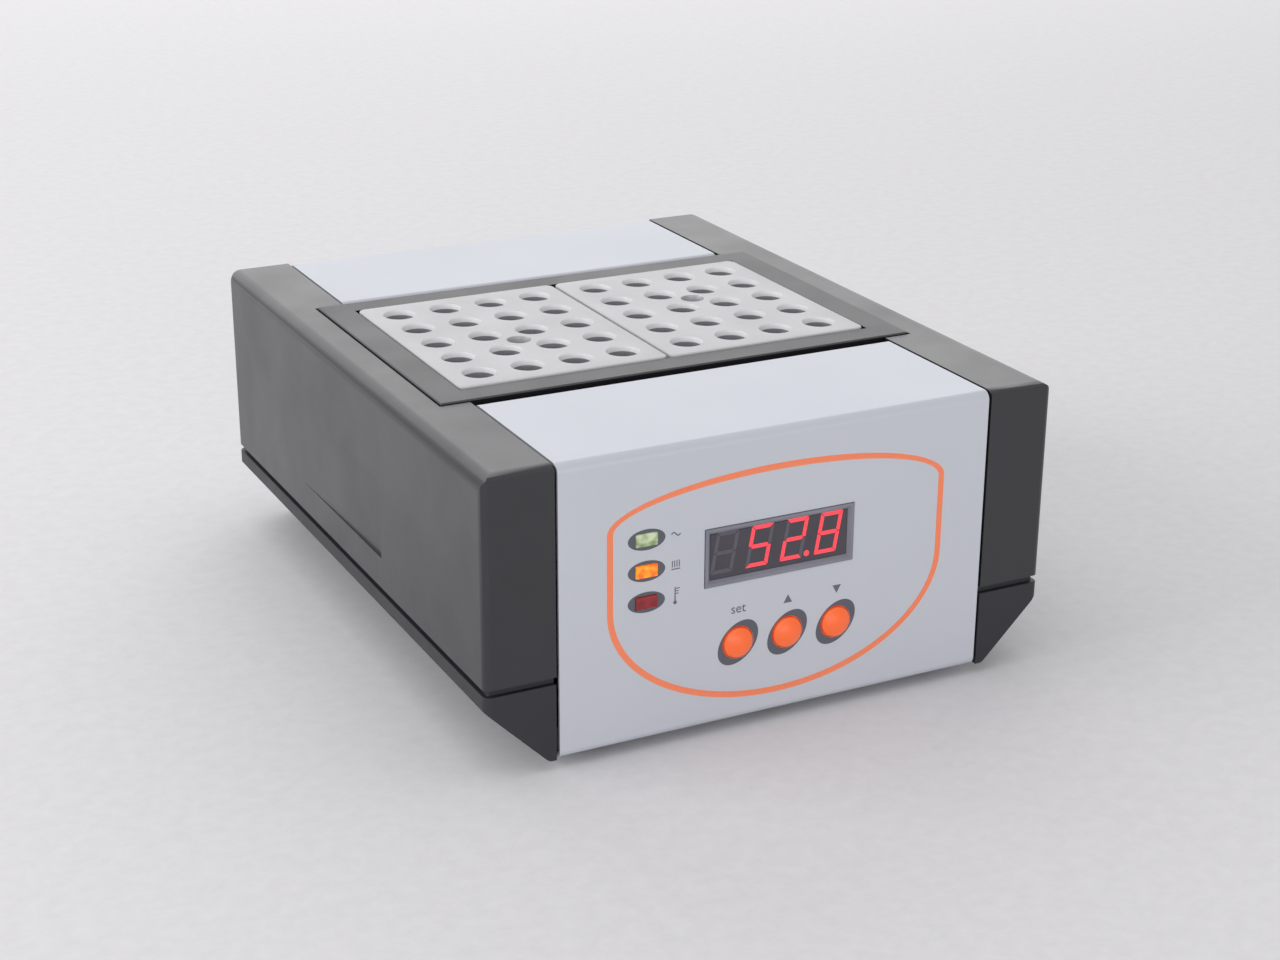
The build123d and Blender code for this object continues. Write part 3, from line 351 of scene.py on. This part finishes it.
def add_prism(work, outline, start, end, place):
    """Adds a closed prism: outline is a list of 2-D points, place maps (u, v, depth) to a point."""
    near = [work.verts.new(place(u, v, start)) for u, v in outline]
    far = [work.verts.new(place(u, v, end)) for u, v in outline]
    work.faces.new(near)
    work.faces.new(list(reversed(far)))
    count = len(outline)
    for index in range(count):
        following = (index + 1) % count
        work.faces.new((near[index], far[index], far[following], near[following]))


def add_band(work, outer, inner, start, end, place):
    """Adds a closed band between two outlines with as many points each."""
    rings = [
        [work.verts.new(place(u, v, depth)) for u, v in outline]
        for outline, depth in ((outer, start), (inner, start), (inner, end), (outer, end))
    ]
    count = len(outer)
    for ring, following_ring in zip(rings, rings[1:] + rings[:1]):
        for index in range(count):
            following = (index + 1) % count
            work.faces.new(
                (ring[index], ring[following], following_ring[following], following_ring[index])
            )


def on_panel(u, v, depth):
    """Point of the front panel: u to the right, v up, depth out of the panel, in mm."""
    return Vector((u * MM, panel_y - depth * MM, v * MM))


def on_window(u, v, depth):
    """Point of the display window, in the same terms."""
    return Vector((u * MM, window_y - depth * MM, v * MM))


def add_revolved(work, profile, segments, axis_point, along, across):
    """Revolves a profile of (radius, height) in mm about the line at axis_point in direction along."""
    side = along.cross(across)
    rings = []
    for radius, height in profile:
        centre = axis_point + along * height * MM
        if radius == 0:
            rings.append([work.verts.new(centre)])
            continue
        ring = []
        for step in range(segments):
            angle = 2 * math.pi * step / segments
            ring.append(work.verts.new(
                centre + (across * math.cos(angle) + side * math.sin(angle)) * radius * MM
            ))
        rings.append(ring)
    for low, high in zip(rings, rings[1:]):
        for step in range(segments):
            following = (step + 1) % segments
            if len(low) == 1:
                work.faces.new((low[0], high[step], high[following]))
            elif len(high) == 1:
                work.faces.new((low[step], high[0], low[following]))
            else:
                work.faces.new((low[step], high[step], high[following], low[following]))


def add_block(work, low, high):
    """Adds a box between two corners."""
    made = bmesh.ops.create_cube(work, size=1.0)["verts"]
    centre = (low + high) / 2
    size = high - low
    for vertex in made:
        vertex.co = centre + Vector(a * b for a, b in zip(vertex.co, size))


X_AXIS = Vector((1, 0, 0))
Y_AXIS = Vector((0, 1, 0))
Z_AXIS = Vector((0, 0, 1))

# CAD nodes keep their shape: each gets its material and smooth shading, and those listed here get softened edges
EDGE_SOFTNESS = {
    "left_cheek": 0.35,
    "right_cheek": 0.35,
    "base_tray": 0.35,
    "front_cover": 0.18,
    "rear_cover": 0.18,
    "well_bezel": 0.2,
    "display_bezel": 0.15,
    "display_window": 0.1,
    "lamp_mains": 0.4,
    "lamp_heater": 0.4,
    "lamp_alarm": 0.4,
    "rubber_feet": 0.6,
    "power_inlet": 0.4,
    "fuse_drawer": 0.3,
    "switch_body": 0.4,
    "power_rocker": 0.4,
}
SMOOTH_ANGLE = 35.0
WELD_DISTANCE = 0.000002  # metres
FLAT_ANGLE = 0.5
BEVEL_ANGLE = 40.0
BEVEL_SEGMENTS = 3
UPRIGHT_LIMIT = 0.5  # a face whose normal rises less than this stands upright


def dress_node(name):
    """Gives a CAD node its finish and smooth shading, and rounds its sharp edges a little if it is listed in
    EDGE_SOFTNESS.
    """
    node = nodes[name]
    material = finishes[slot_of[name]]
    if node.data.materials:
        for index in range(len(node.data.materials)):
            node.data.materials[index] = material
    else:
        node.data.materials.append(material)
    for polygon in node.data.polygons:
        polygon.use_smooth = True
    weld = node.modifiers.new("weld", "WELD")
    weld.merge_threshold = WELD_DISTANCE
    if name in EDGE_SOFTNESS:
        flatten = node.modifiers.new("flat_faces", "DECIMATE")
        flatten.decimate_type = "DISSOLVE"
        flatten.angle_limit = math.radians(FLAT_ANGLE)
        bevel = node.modifiers.new("soft_edges", "BEVEL")
        bevel.width = EDGE_SOFTNESS[name] * MM
        bevel.segments = BEVEL_SEGMENTS
        bevel.limit_method = "ANGLE"
        bevel.angle_limit = math.radians(BEVEL_ANGLE)
    split = node.modifiers.new("sharp_edges", "EDGE_SPLIT")
    split.split_angle = math.radians(SMOOTH_ANGLE)
    split.use_edge_sharp = False
    normals = node.modifiers.new("flat_normals", "WEIGHTED_NORMAL")
    normals.weight = 100
    normals.keep_sharp = True


for node_name in nodes:
    dress_node(node_name)

# The upright edges of the bezel get a near-black finish: painted shade standing in for the shadowed gaps round
# it
bezel_mesh = nodes["well_bezel"].data
bezel_mesh.materials.append(finishes["bezel_edge"])
for polygon in bezel_mesh.polygons:
    if abs(polygon.normal.z) < UPRIGHT_LIMIT:
        polygon.material_index = len(bezel_mesh.materials) - 1

# Tube blocks with countersunk wells
WELL_PITCH_X = 17.33
WELL_PITCH_Y = 17.9
WELL_COLUMNS = 4
WELL_ROWS = 5
WELL_RADIUS = 5.35
WELL_DEPTH = 44.0
WELL_MOUTH = (0.42, 1.75)
WELL_FLOOR_RADIUS = 1.5
PROBE_RADIUS = 3.9
PROBE_DEPTH = 46.0
PROBE_MOUTH = (0.3, 0.8)
PROBE_FLOOR_RADIUS = 0.8
BLOCK_CORNER = 2.8
BLOCK_EDGE = 0.55
CUT_MARGIN = 1.0
BORE_SKIN = 1.0  # keeps the finishes of the bores off the block's outside
TOP_SKIN = 0.01
ROUND_STEPS = 3  # facets of each small rounded edge
WELL_SEGMENTS = 64
PROBE_SEGMENTS = 48


def rounded_outline(half_width, half_depth, corner, steps=10):
    """Points round a rectangle with rounded corners."""
    points = []
    for turn, (side_x, side_y) in enumerate(((1, 1), (-1, 1), (-1, -1), (1, -1))):
        for step in range(steps + 1):
            angle = math.pi / 2 * (turn + step / steps)
            points.append((
                side_x * (half_width - corner) + corner * math.cos(angle),
                side_y * (half_depth - corner) + corner * math.sin(angle),
            ))
    return points


def block_blank(name, low, high):
    """The solid block with a small rounded edge round its top."""
    centre = (low + high) / 2
    half_width = (high.x - low.x) / 2 / MM
    half_depth = (high.y - low.y) / 2 / MM
    layers = [(0.0, low.z), (0.0, high.z - BLOCK_EDGE * MM)]
    for step in range(1, ROUND_STEPS + 1):
        angle = math.pi / 2 * step / ROUND_STEPS
        inset = BLOCK_EDGE * (1 - math.cos(angle))
        layers.append((inset, high.z - BLOCK_EDGE * MM * (1 - math.sin(angle))))

    def build(work):
        rings = []
        for inset, height in layers:
            outline = rounded_outline(half_width - inset, half_depth - inset, BLOCK_CORNER - inset)
            rings.append([
                work.verts.new((centre.x + u * MM, centre.y + v * MM, height)) for u, v in outline
            ])
        count = len(rings[0])
        work.faces.new(rings[0])
        work.faces.new(rings[-1])
        for lower, upper in zip(rings, rings[1:]):
            for index in range(count):
                following = (index + 1) % count
                work.faces.new((lower[index], lower[following], upper[following], upper[index]))

    return mesh_from(name, build)


def well_profile(radius, depth, mouth, floor_radius):
    """Cutter of a well from its floor to above its countersunk mouth: mouth is its width and depth."""
    profile = [(0.0, -depth), (radius - floor_radius, -depth)]
    for step in range(1, ROUND_STEPS + 1):
        angle = math.pi / 2 * step / ROUND_STEPS
        profile.append((
            radius - floor_radius * (1 - math.sin(angle)),
            -depth + floor_radius * (1 - math.cos(angle)),
        ))
    width, drop = mouth
    profile.append((radius, -drop))
    profile.append((radius + width * (1 + CUT_MARGIN / drop), CUT_MARGIN))
    profile.append((0.0, CUT_MARGIN))
    return profile


def make_tube_block(name, side):
    """A block whose wells are cut with countersunk cutters."""
    low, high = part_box(name)
    centre = (low + high) / 2

    def build(work):
        for row in range(WELL_ROWS):
            for column in range(WELL_COLUMNS):
                x = centre.x + (column - (WELL_COLUMNS - 1) / 2) * WELL_PITCH_X * MM
                y = centre.y + (row - (WELL_ROWS - 1) / 2) * WELL_PITCH_Y * MM
                profile = well_profile(WELL_RADIUS, WELL_DEPTH, WELL_MOUTH, WELL_FLOOR_RADIUS)
                add_revolved(work, profile, WELL_SEGMENTS, Vector((x, y, high.z)), Z_AXIS, X_AXIS)
        profile = well_profile(PROBE_RADIUS, PROBE_DEPTH, PROBE_MOUTH, PROBE_FLOOR_RADIUS)
        y = centre.y + side * WELL_PITCH_Y / 2 * MM
        place = Vector((centre.x, y, high.z))
        add_revolved(work, profile, PROBE_SEGMENTS, place, Z_AXIS, X_AXIS)

    data = cut_mesh(name, block_blank(name + "_blank", low, high), mesh_from(name + "_cutters", build))
    inside = (high - low) / 2 - Vector((BORE_SKIN, BORE_SKIN, 0)) * MM
    mouth = high.z - WELL_MOUTH[1] * MM
    top = high.z - TOP_SKIN * MM
    piece = new_piece(name + "_machined", data, "block_aluminium", name, SMOOTH_ANGLE)
    # By where each face lies, the bores take the painted shade and the countersunk mouths the painted highlight
    for finish in ("well_bore_painted_shade", "well_mouth_painted_highlight", "probe_bore_painted_shade"):
        piece.data.materials.append(finishes[finish])
    probe_y = side * WELL_PITCH_Y / 2 * MM
    for polygon in piece.data.polygons:
        place = polygon.center - centre
        if abs(place.x) < inside.x and abs(place.y) < inside.y and low.z < polygon.center.z < top:
            in_probe = math.hypot(place.x, place.y - probe_y) < (PROBE_RADIUS + BORE_SKIN) * MM
            in_mouth = polygon.center.z > mouth
            polygon.material_index = 3 if in_probe else 2 if in_mouth else 1
    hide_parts(name)


make_tube_block("block_left", -1)
make_tube_block("block_right", 1)

# Buttons: a smooth dome on a rounded skirt, with the stop and the stem behind the panel
BUTTON_SEGMENTS = 64
BUTTON_RADIUS = 5.05
BUTTON_PROUD = 2.3
BUTTON_SHOULDER = 0.7
BUTTON_SHOULDER_RADIUS = 0.5
BUTTON_STOP = 12.4
BUTTON_STEM = 3.6
BUTTON_STOP_THICKNESS = 1.0
BUTTON_ROUND_SHARE = 0.8  # of a quarter turn, where the shoulder meets the dome
BUTTON_DOME_STEPS = 12
PANEL_SHEET = 1.3  # with a little clearance


def make_button(name):
    """A domed cap that rides with its button."""
    low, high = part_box(name)
    centre_x = (low.x + high.x) / 2
    centre_z = (low.z + high.z) / 2
    hub = Vector((centre_x, panel_y, centre_z))
    crown_radius = BUTTON_RADIUS - BUTTON_SHOULDER_RADIUS
    rise = BUTTON_PROUD - BUTTON_SHOULDER
    sphere = (crown_radius ** 2 + rise ** 2) / (2 * rise)
    profile = [(0.0, -PANEL_SHEET), (BUTTON_RADIUS, -PANEL_SHEET)]
    profile.append((BUTTON_RADIUS, BUTTON_SHOULDER - BUTTON_SHOULDER_RADIUS))
    for step in range(1, ROUND_STEPS + 1):
        angle = math.pi / 2 * step / ROUND_STEPS * BUTTON_ROUND_SHARE
        profile.append((
            crown_radius + BUTTON_SHOULDER_RADIUS * math.cos(angle),
            BUTTON_SHOULDER - BUTTON_SHOULDER_RADIUS * (1 - math.sin(angle)),
        ))
    for step in range(BUTTON_DOME_STEPS):
        radius = crown_radius * (1 - step / BUTTON_DOME_STEPS)
        profile.append((radius, BUTTON_PROUD - sphere + math.sqrt(sphere ** 2 - radius ** 2)))
    profile.append((0.0, BUTTON_PROUD))

    def build(work):
        add_revolved(work, profile, BUTTON_SEGMENTS, hub, -Y_AXIS, X_AXIS)
        half = BUTTON_STOP / 2 * MM
        stop_y = panel_y + PANEL_SHEET * MM
        add_block(
            work,
            Vector((centre_x - half, stop_y, centre_z - half)),
            Vector((centre_x + half, stop_y + BUTTON_STOP_THICKNESS * MM, centre_z + half)),
        )
        half = BUTTON_STEM / 2 * MM
        add_block(
            work,
            Vector((centre_x - half, stop_y + BUTTON_STOP_THICKNESS * MM, centre_z - half)),
            Vector((centre_x + half, high.y, centre_z + half)),
        )

    piece = new_piece(name + "_cap", mesh_from(name + "_cap", build), "button_orange", name, 40.0)
    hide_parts(name)
    return centre_x / MM, centre_z / MM


button_places = [make_button(name) for name in ("button_set", "button_up", "button_down")]

# Prints on the front panel
INK = 0.05
INK_OVER = 0.08
OUTLINE_HALF_WIDTH = 59.0
OUTLINE_LOW_MIDDLE = 48.9
OUTLINE_LOW_REACH = 37.5
OUTLINE_HIGH_MIDDLE = 74.5
OUTLINE_HIGH_REACH = 12.9
OUTLINE_LINE = 2.05
OVAL_WIDTH = 12.7
OVAL_HEIGHT = 6.8
FIELD_LONG = 8.38
FIELD_SHORT = 5.95
FIELD_TILT = math.radians(47.0)
FIELD_OPENING = 5.6


def outline_points(grow, steps=72):
    """Two half ellipses joined by straight sides; grow widens the figure."""
    half_width = OUTLINE_HALF_WIDTH + grow
    points = []
    for step in range(steps + 1):
        angle = math.pi * step / steps
        points.append((
            half_width * math.cos(angle),
            OUTLINE_HIGH_MIDDLE + (OUTLINE_HIGH_REACH + grow) * math.sin(angle),
        ))
    for step in range(steps + 1):
        angle = math.pi + math.pi * step / steps
        points.append((
            half_width * math.cos(angle),
            OUTLINE_LOW_MIDDLE + (OUTLINE_LOW_REACH + grow) * math.sin(angle),
        ))
    return points


def ellipse(centre, half_width, half_height, steps=64):
    """Points round an ellipse."""
    return [
        (
            centre[0] + half_width * math.cos(2 * math.pi * step / steps),
            centre[1] + half_height * math.sin(2 * math.pi * step / steps),
        )
        for step in range(steps)
    ]


def rectangle(left, low, right, high):
    """Points round a rectangle."""
    return [(left, low), (right, low), (right, high), (left, high)]


def make_print(name, slot, build):
    """A print on the panel as its own thin piece."""
    piece = new_piece(name, mesh_from(name, build), slot)
    return piece


def build_outline(work):
    half = OUTLINE_LINE / 2
    add_band(work, outline_points(half), outline_points(-half), 0.0, INK, on_panel)


make_print("print_outline", "ink_orange", build_outline)


def lamp_place(name):
    """Centre of a lamp's lens on the panel, in mm."""
    low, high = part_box(name)
    return ((low.x + high.x) / 2 / MM, (low.z + high.z) / 2 / MM)


lamp_places = [lamp_place(name) for name in ("lamp_mains", "lamp_heater", "lamp_alarm")]
LENS_HALF_WIDTH = 3.8
LENS_HALF_HEIGHT = 2.2


def build_lamp_fields(work):
    """Dark ovals printed round the lenses, open where a lens comes through."""
    steps = 64
    for place in lamp_places:
        outer = ellipse(place, OVAL_WIDTH / 2, OVAL_HEIGHT / 2, steps)
        inner = []
        for step in range(steps):
            angle = 2 * math.pi * step / steps
            reach = max(abs(math.cos(angle)) / LENS_HALF_WIDTH, abs(math.sin(angle)) / LENS_HALF_HEIGHT)
            inner.append((place[0] + math.cos(angle) / reach, place[1] + math.sin(angle) / reach))
        add_band(work, outer, inner, 0.0, INK, on_panel)


def build_button_fields(work):
    """Dark slanted ovals printed round the buttons."""
    steps = 96
    for x, z in button_places:
        outer = []
        for step in range(steps):
            angle = 2 * math.pi * step / steps
            across = FIELD_SHORT * math.cos(angle - FIELD_TILT)
            along = FIELD_LONG * math.sin(angle - FIELD_TILT)
            reach = FIELD_LONG * FIELD_SHORT / math.hypot(across, along)
            outer.append((x + reach * math.cos(angle), z + reach * math.sin(angle)))
        add_band(work, outer, ellipse((x, z), FIELD_OPENING, FIELD_OPENING, steps), 0.0, INK, on_panel)


make_print("print_lamp_fields", "ink_grey", build_lamp_fields)
make_print("print_button_fields", "ink_grey", build_button_fields)

# Legends: a wave, a heater, a thermometer and two arrows
WAVE_PLACE = (-36.75, 71.3)
HEATER_PLACE = (-36.7, 61.1)
THERMOMETER_PLACE = (-36.6, 50.9)
UP_PLACE = (3.3, 42.1)
DOWN_PLACE = (21.2, 41.9)
SET_PLACE = (-14.5, 42.1)
LEGEND_LINE = 0.32
WAVE_LENGTH = 3.1
WAVE_RISE = 0.55
WAVE_LINE = 1.2 * LEGEND_LINE
ARROW_HALF_WIDTH = 1.55
ARROW_HALF_HEIGHT = 1.4
SET_SIZE = 4.5


def add_stroke(work, points, width, place):
    """A line of even width through points."""
    left = []
    right = []
    for index, point in enumerate(points):
        before = points[max(index - 1, 0)]
        after = points[min(index + 1, len(points) - 1)]
        along = Vector((after[0] - before[0], after[1] - before[1])).normalized()
        across = Vector((-along.y, along.x)) * width / 2
        left.append((point[0] + across.x, point[1] + across.y))
        right.append((point[0] - across.x, point[1] - across.y))
    add_prism(work, left + right[::-1], 0.0, INK, place)


def build_legends(work):
    wave = []
    steps = 24
    for step in range(steps + 1):
        share = step / steps
        wave.append((
            WAVE_PLACE[0] + (share - 0.5) * WAVE_LENGTH,
            WAVE_PLACE[1] + WAVE_RISE * math.sin(2 * math.pi * share),
        ))
    add_stroke(work, wave, WAVE_LINE, on_panel)
    x, z = HEATER_PLACE
    for bar in range(4):
        bar_x = x + (bar - 1.5) * 0.8
        add_prism(work, rectangle(bar_x - 0.16, z - 0.7, bar_x + 0.16, z + 1.5), 0.0, INK, on_panel)
    add_prism(work, rectangle(x - 1.5, z - 1.5, x + 1.5, z - 1.15), 0.0, INK, on_panel)
    x, z = THERMOMETER_PLACE
    add_prism(work, rectangle(x - 0.45, z - 1.8, x - 0.05, z + 2.8), 0.0, INK, on_panel)
    add_prism(work, ellipse((x - 0.25, z - 2.3), 0.62, 0.62, 24), 0.0, INK, on_panel)
    for tick in range(3):
        tick_z = z + 0.5 + tick * 0.85
        reach = 1.35 if tick == 2 else 0.95
        add_prism(work, rectangle(x + 0.05, tick_z, x + reach, tick_z + 0.3), 0.0, INK, on_panel)
    for (x, z), rise in ((UP_PLACE, ARROW_HALF_HEIGHT), (DOWN_PLACE, -ARROW_HALF_HEIGHT)):
        arrow = [(x - ARROW_HALF_WIDTH, z - rise), (x + ARROW_HALF_WIDTH, z - rise), (x, z + rise)]
        add_prism(work, arrow, 0.0, INK, on_panel)


make_print("print_legends", "ink_legend", build_legends)


def text_mesh(name, words, size, thickness):
    """A mesh of plain lettering, lying flat and centred on the origin; the caller stands it in the panel's
    plane.
    """
    curve = bpy.data.curves.new(name, "FONT")
    curve.body = words
    curve.size = size
    curve.extrude = thickness / 2
    curve.align_x = "CENTER"
    curve.align_y = "CENTER"
    holder = bpy.data.objects.new(name, curve)
    bpy.context.scene.collection.objects.link(holder)
    data = evaluated_mesh(holder)
    bpy.data.objects.remove(holder)
    return data


def make_set_legend():
    """The word over the first button."""
    data = text_mesh("print_set", "set", SET_SIZE * MM, INK * MM)
    data.materials.clear()
    stand = Matrix.Rotation(math.pi / 2, 4, "X")
    data.transform(stand)
    data.transform(Matrix.Translation(on_panel(SET_PLACE[0], SET_PLACE[1], INK / 2)))
    piece = new_piece("print_set", data, "ink_legend")


make_set_legend()

# Display digits: seven slanted segments each
DIGIT_LEFTS = (-24.6, -12.2, 0.2, 12.6)
DIGIT_LOW = 55.0
DIGIT_HEIGHT = 13.7
DIGIT_WIDTH = 7.9
DIGIT_LINE = 1.28
DIGIT_GAP = 0.16
DIGIT_SLANT = math.tan(math.radians(10.0))
SEGMENT_THICKNESS = 0.05
SEGMENTS_OF = {" ": "", "5": "afgcd", "2": "abged", "8": "abcdefg"}
READING = " 528"
POINT_AFTER = 2
POINT_RADIUS = 1.0
POINT_RIGHT = 1.8
POINT_RISE = 1.1


def segment_outlines():
    """The seven segments of an upright digit, as outlines in mm from its lower left corner."""
    line = DIGIT_LINE
    wide, high = DIGIT_WIDTH, DIGIT_HEIGHT
    middle = high / 2
    gap = DIGIT_GAP

    def mirrored(outline):
        return [(u, high - v) for u, v in outline]

    def flipped(outline):
        return [(wide - u, v) for u, v in outline]

    low_bar = [(gap, 0), (wide - gap, 0), (wide - line - gap, line), (line + gap, line)]
    low_side = [
        (0, gap), (line, line + gap), (line, middle - line / 2 - gap),
        (line / 2, middle - gap), (0, middle - gap),
    ]
    bar = [
        (line / 2 + gap, middle), (line + gap, middle - line / 2), (wide - line - gap, middle - line / 2),
        (wide - line / 2 - gap, middle), (wide - line - gap, middle + line / 2),
        (line + gap, middle + line / 2),
    ]
    return {
        "a": mirrored(low_bar),
        "g": bar,
        "d": low_bar,
        "b": mirrored(flipped(low_side)),
        "f": mirrored(low_side),
        "c": flipped(low_side),
        "e": low_side,
    }


def make_digits():
    """Lit and unlit segments on the window."""
    outlines = segment_outlines()
    lit = []
    unlit = []
    for left, figure in zip(DIGIT_LEFTS, READING):
        for key, outline in outlines.items():
            slanted = [(left + u + v * DIGIT_SLANT, DIGIT_LOW + v) for u, v in outline]
            (lit if key in SEGMENTS_OF[figure] else unlit).append(slanted)
    point = (DIGIT_LEFTS[POINT_AFTER] + DIGIT_WIDTH + POINT_RIGHT, DIGIT_LOW + POINT_RISE)
    lit.append(ellipse(point, POINT_RADIUS, POINT_RADIUS, 24))
    for name, slot, outlines_of in (
        ("digits_lit", "segment_lit", lit),
        ("digits_unlit", "segment_unlit", unlit),
    ):
        def build(work):
            for outline in outlines_of:
                add_prism(work, outline, 0.0, SEGMENT_THICKNESS, on_window)
        piece = new_piece(name, mesh_from(name, build), slot)


make_digits()

# Screws under the case: three through each cover's flange and four into the pillars
SCREW_RADIUS = 3.0
SCREW_HEIGHT = 1.6
SCREW_RECESS = 0.9
SCREW_ARM_SHARE = 0.6
SCREW_SLOT_HALF = 0.42
SCREW_SMOOTH_ANGLE = 30.0
FLANGE_SCREW_INSET = 7.0
PILLAR_INSET_X = 3.5
PILLAR_INSET_Y = 3.0
FLANGE_SCREW_XS = (-60.0, 0.0, 60.0)


def make_screw(name, place, outward, across):
    """A pan head with a cross recess, at place on a surface that faces outward."""
    crown = [
        (0.0, 0.0), (SCREW_RADIUS, 0.0), (SCREW_RADIUS, 0.4),
        (SCREW_RADIUS * 0.93, 0.95), (SCREW_RADIUS * 0.72, 1.35), (SCREW_RADIUS * 0.4, SCREW_HEIGHT),
        (0.0, SCREW_HEIGHT),
    ]
    head = mesh_from(name + "_head", lambda work: add_revolved(work, crown, 40, place, outward, across))
    side = outward.cross(across)
    cross = []
    arm, half = SCREW_RADIUS * SCREW_ARM_SHARE, SCREW_SLOT_HALF
    for turn in range(4):
        angle = math.pi / 2 * turn
        cosine, sine = math.cos(angle), math.sin(angle)
        for u, v in ((arm, -half), (arm, half), (half, half)):
            cross.append((u * cosine - v * sine, u * sine + v * cosine))

    def located(u, v, depth):
        return place + (across * u + side * v + outward * depth) * MM

    def build(work):
        add_prism(work, cross, SCREW_HEIGHT - SCREW_RECESS, SCREW_HEIGHT + CUT_MARGIN, located)

    data = cut_mesh(name, head, mesh_from(name + "_tool", build))
    piece = new_piece(name, data, "screw_steel", smooth_angle=SCREW_SMOOTH_ANGLE)


def make_screws():
    tray_low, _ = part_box("base_tray")
    for index, x in enumerate(FLANGE_SCREW_XS):
        for end, y in (("front", panel_y + FLANGE_SCREW_INSET * MM), ("rear", rear_y - FLANGE_SCREW_INSET * MM)):
            place = Vector((x * MM, y, foot_top))
            make_screw(f"screw_{end}_{index + 1}", place, -Z_AXIS, X_AXIS)
    pillar_low, pillar_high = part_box("pan_pillars")
    for index, (x, y) in enumerate((
        (pillar_low.x, pillar_low.y), (pillar_high.x, pillar_low.y),
        (pillar_low.x, pillar_high.y), (pillar_high.x, pillar_high.y),
    )):
        inward_x = PILLAR_INSET_X * MM if x < 0 else -PILLAR_INSET_X * MM
        inward_y = PILLAR_INSET_Y * MM if y == pillar_low.y else -PILLAR_INSET_Y * MM
        place = Vector((x + inward_x, y + inward_y, tray_low.z))
        make_screw(f"screw_pillar_{index + 1}", place, -Z_AXIS, X_AXIS)


make_screws()


# Floor, backdrop and light
FLOOR_RADIUS = 8.0  # metres
SURROUND_STRENGTH = 0.55


def make_stage():
    """A pale mottled floor under an even pale surround."""
    floor = Finish("floor", linear(228, 227, 228), 0.85)
    clouds = floor.spread(floor.noise(160.0, detail=5.0, roughness=0.7), 0.0, 1.0, 0.25, 0.75)
    colour = floor.blend_colours(clouds, linear(224, 223, 225), linear(233, 232, 233))
    floor.link(colour, floor.shader.inputs["Base Color"])
    floor.shader.inputs["Specular IOR Level"].default_value = 0.2
    data = mesh_from("floor", lambda work: bmesh.ops.create_circle(
        work, cap_ends=True, radius=FLOOR_RADIUS, segments=96
    ))
    piece = bpy.data.objects.new("floor", data)
    bpy.context.scene.collection.objects.link(piece)
    piece.data.materials.append(floor.material)
    world = bpy.data.worlds.new("surround")
    bpy.context.scene.world = world
    world.use_nodes = True
    background = world.node_tree.nodes["Background"]
    background.inputs["Color"].default_value = linear(240, 239, 241)
    background.inputs["Strength"].default_value = SURROUND_STRENGTH


def add_light(name, place, target, size, power):
    """A soft rectangular lamp that points at target."""
    data = bpy.data.lights.new(name, "AREA")
    data.shape = "RECTANGLE"
    data.size, data.size_y = size
    data.energy = power
    lamp = bpy.data.objects.new(name, data)
    bpy.context.scene.collection.objects.link(lamp)
    lamp.location = place
    lamp.rotation_mode = "QUATERNION"
    lamp.rotation_quaternion = (Vector(target) - Vector(place)).to_track_quat("-Z", "Y")


make_stage()
add_light("overhead", (-0.3, -0.2, 1.7), (0, 0, 0.05), (1.8, 1.8), 6.0)
add_light("left_fill", (-1.7, 0.4, 0.8), (0, 0, 0.05), (1.4, 1.0), 15.0)
add_light("front_fill", (-0.5, -2.4, 0.5), (0, 0, 0.05), (2.6, 1.0), 17.0)
add_light("behind", (0.6, 1.85, 0.95), (0, 0, 0.08), (3.4, 1.6), 20.0)

scene = bpy.context.scene
scene.view_settings.view_transform = "Standard"
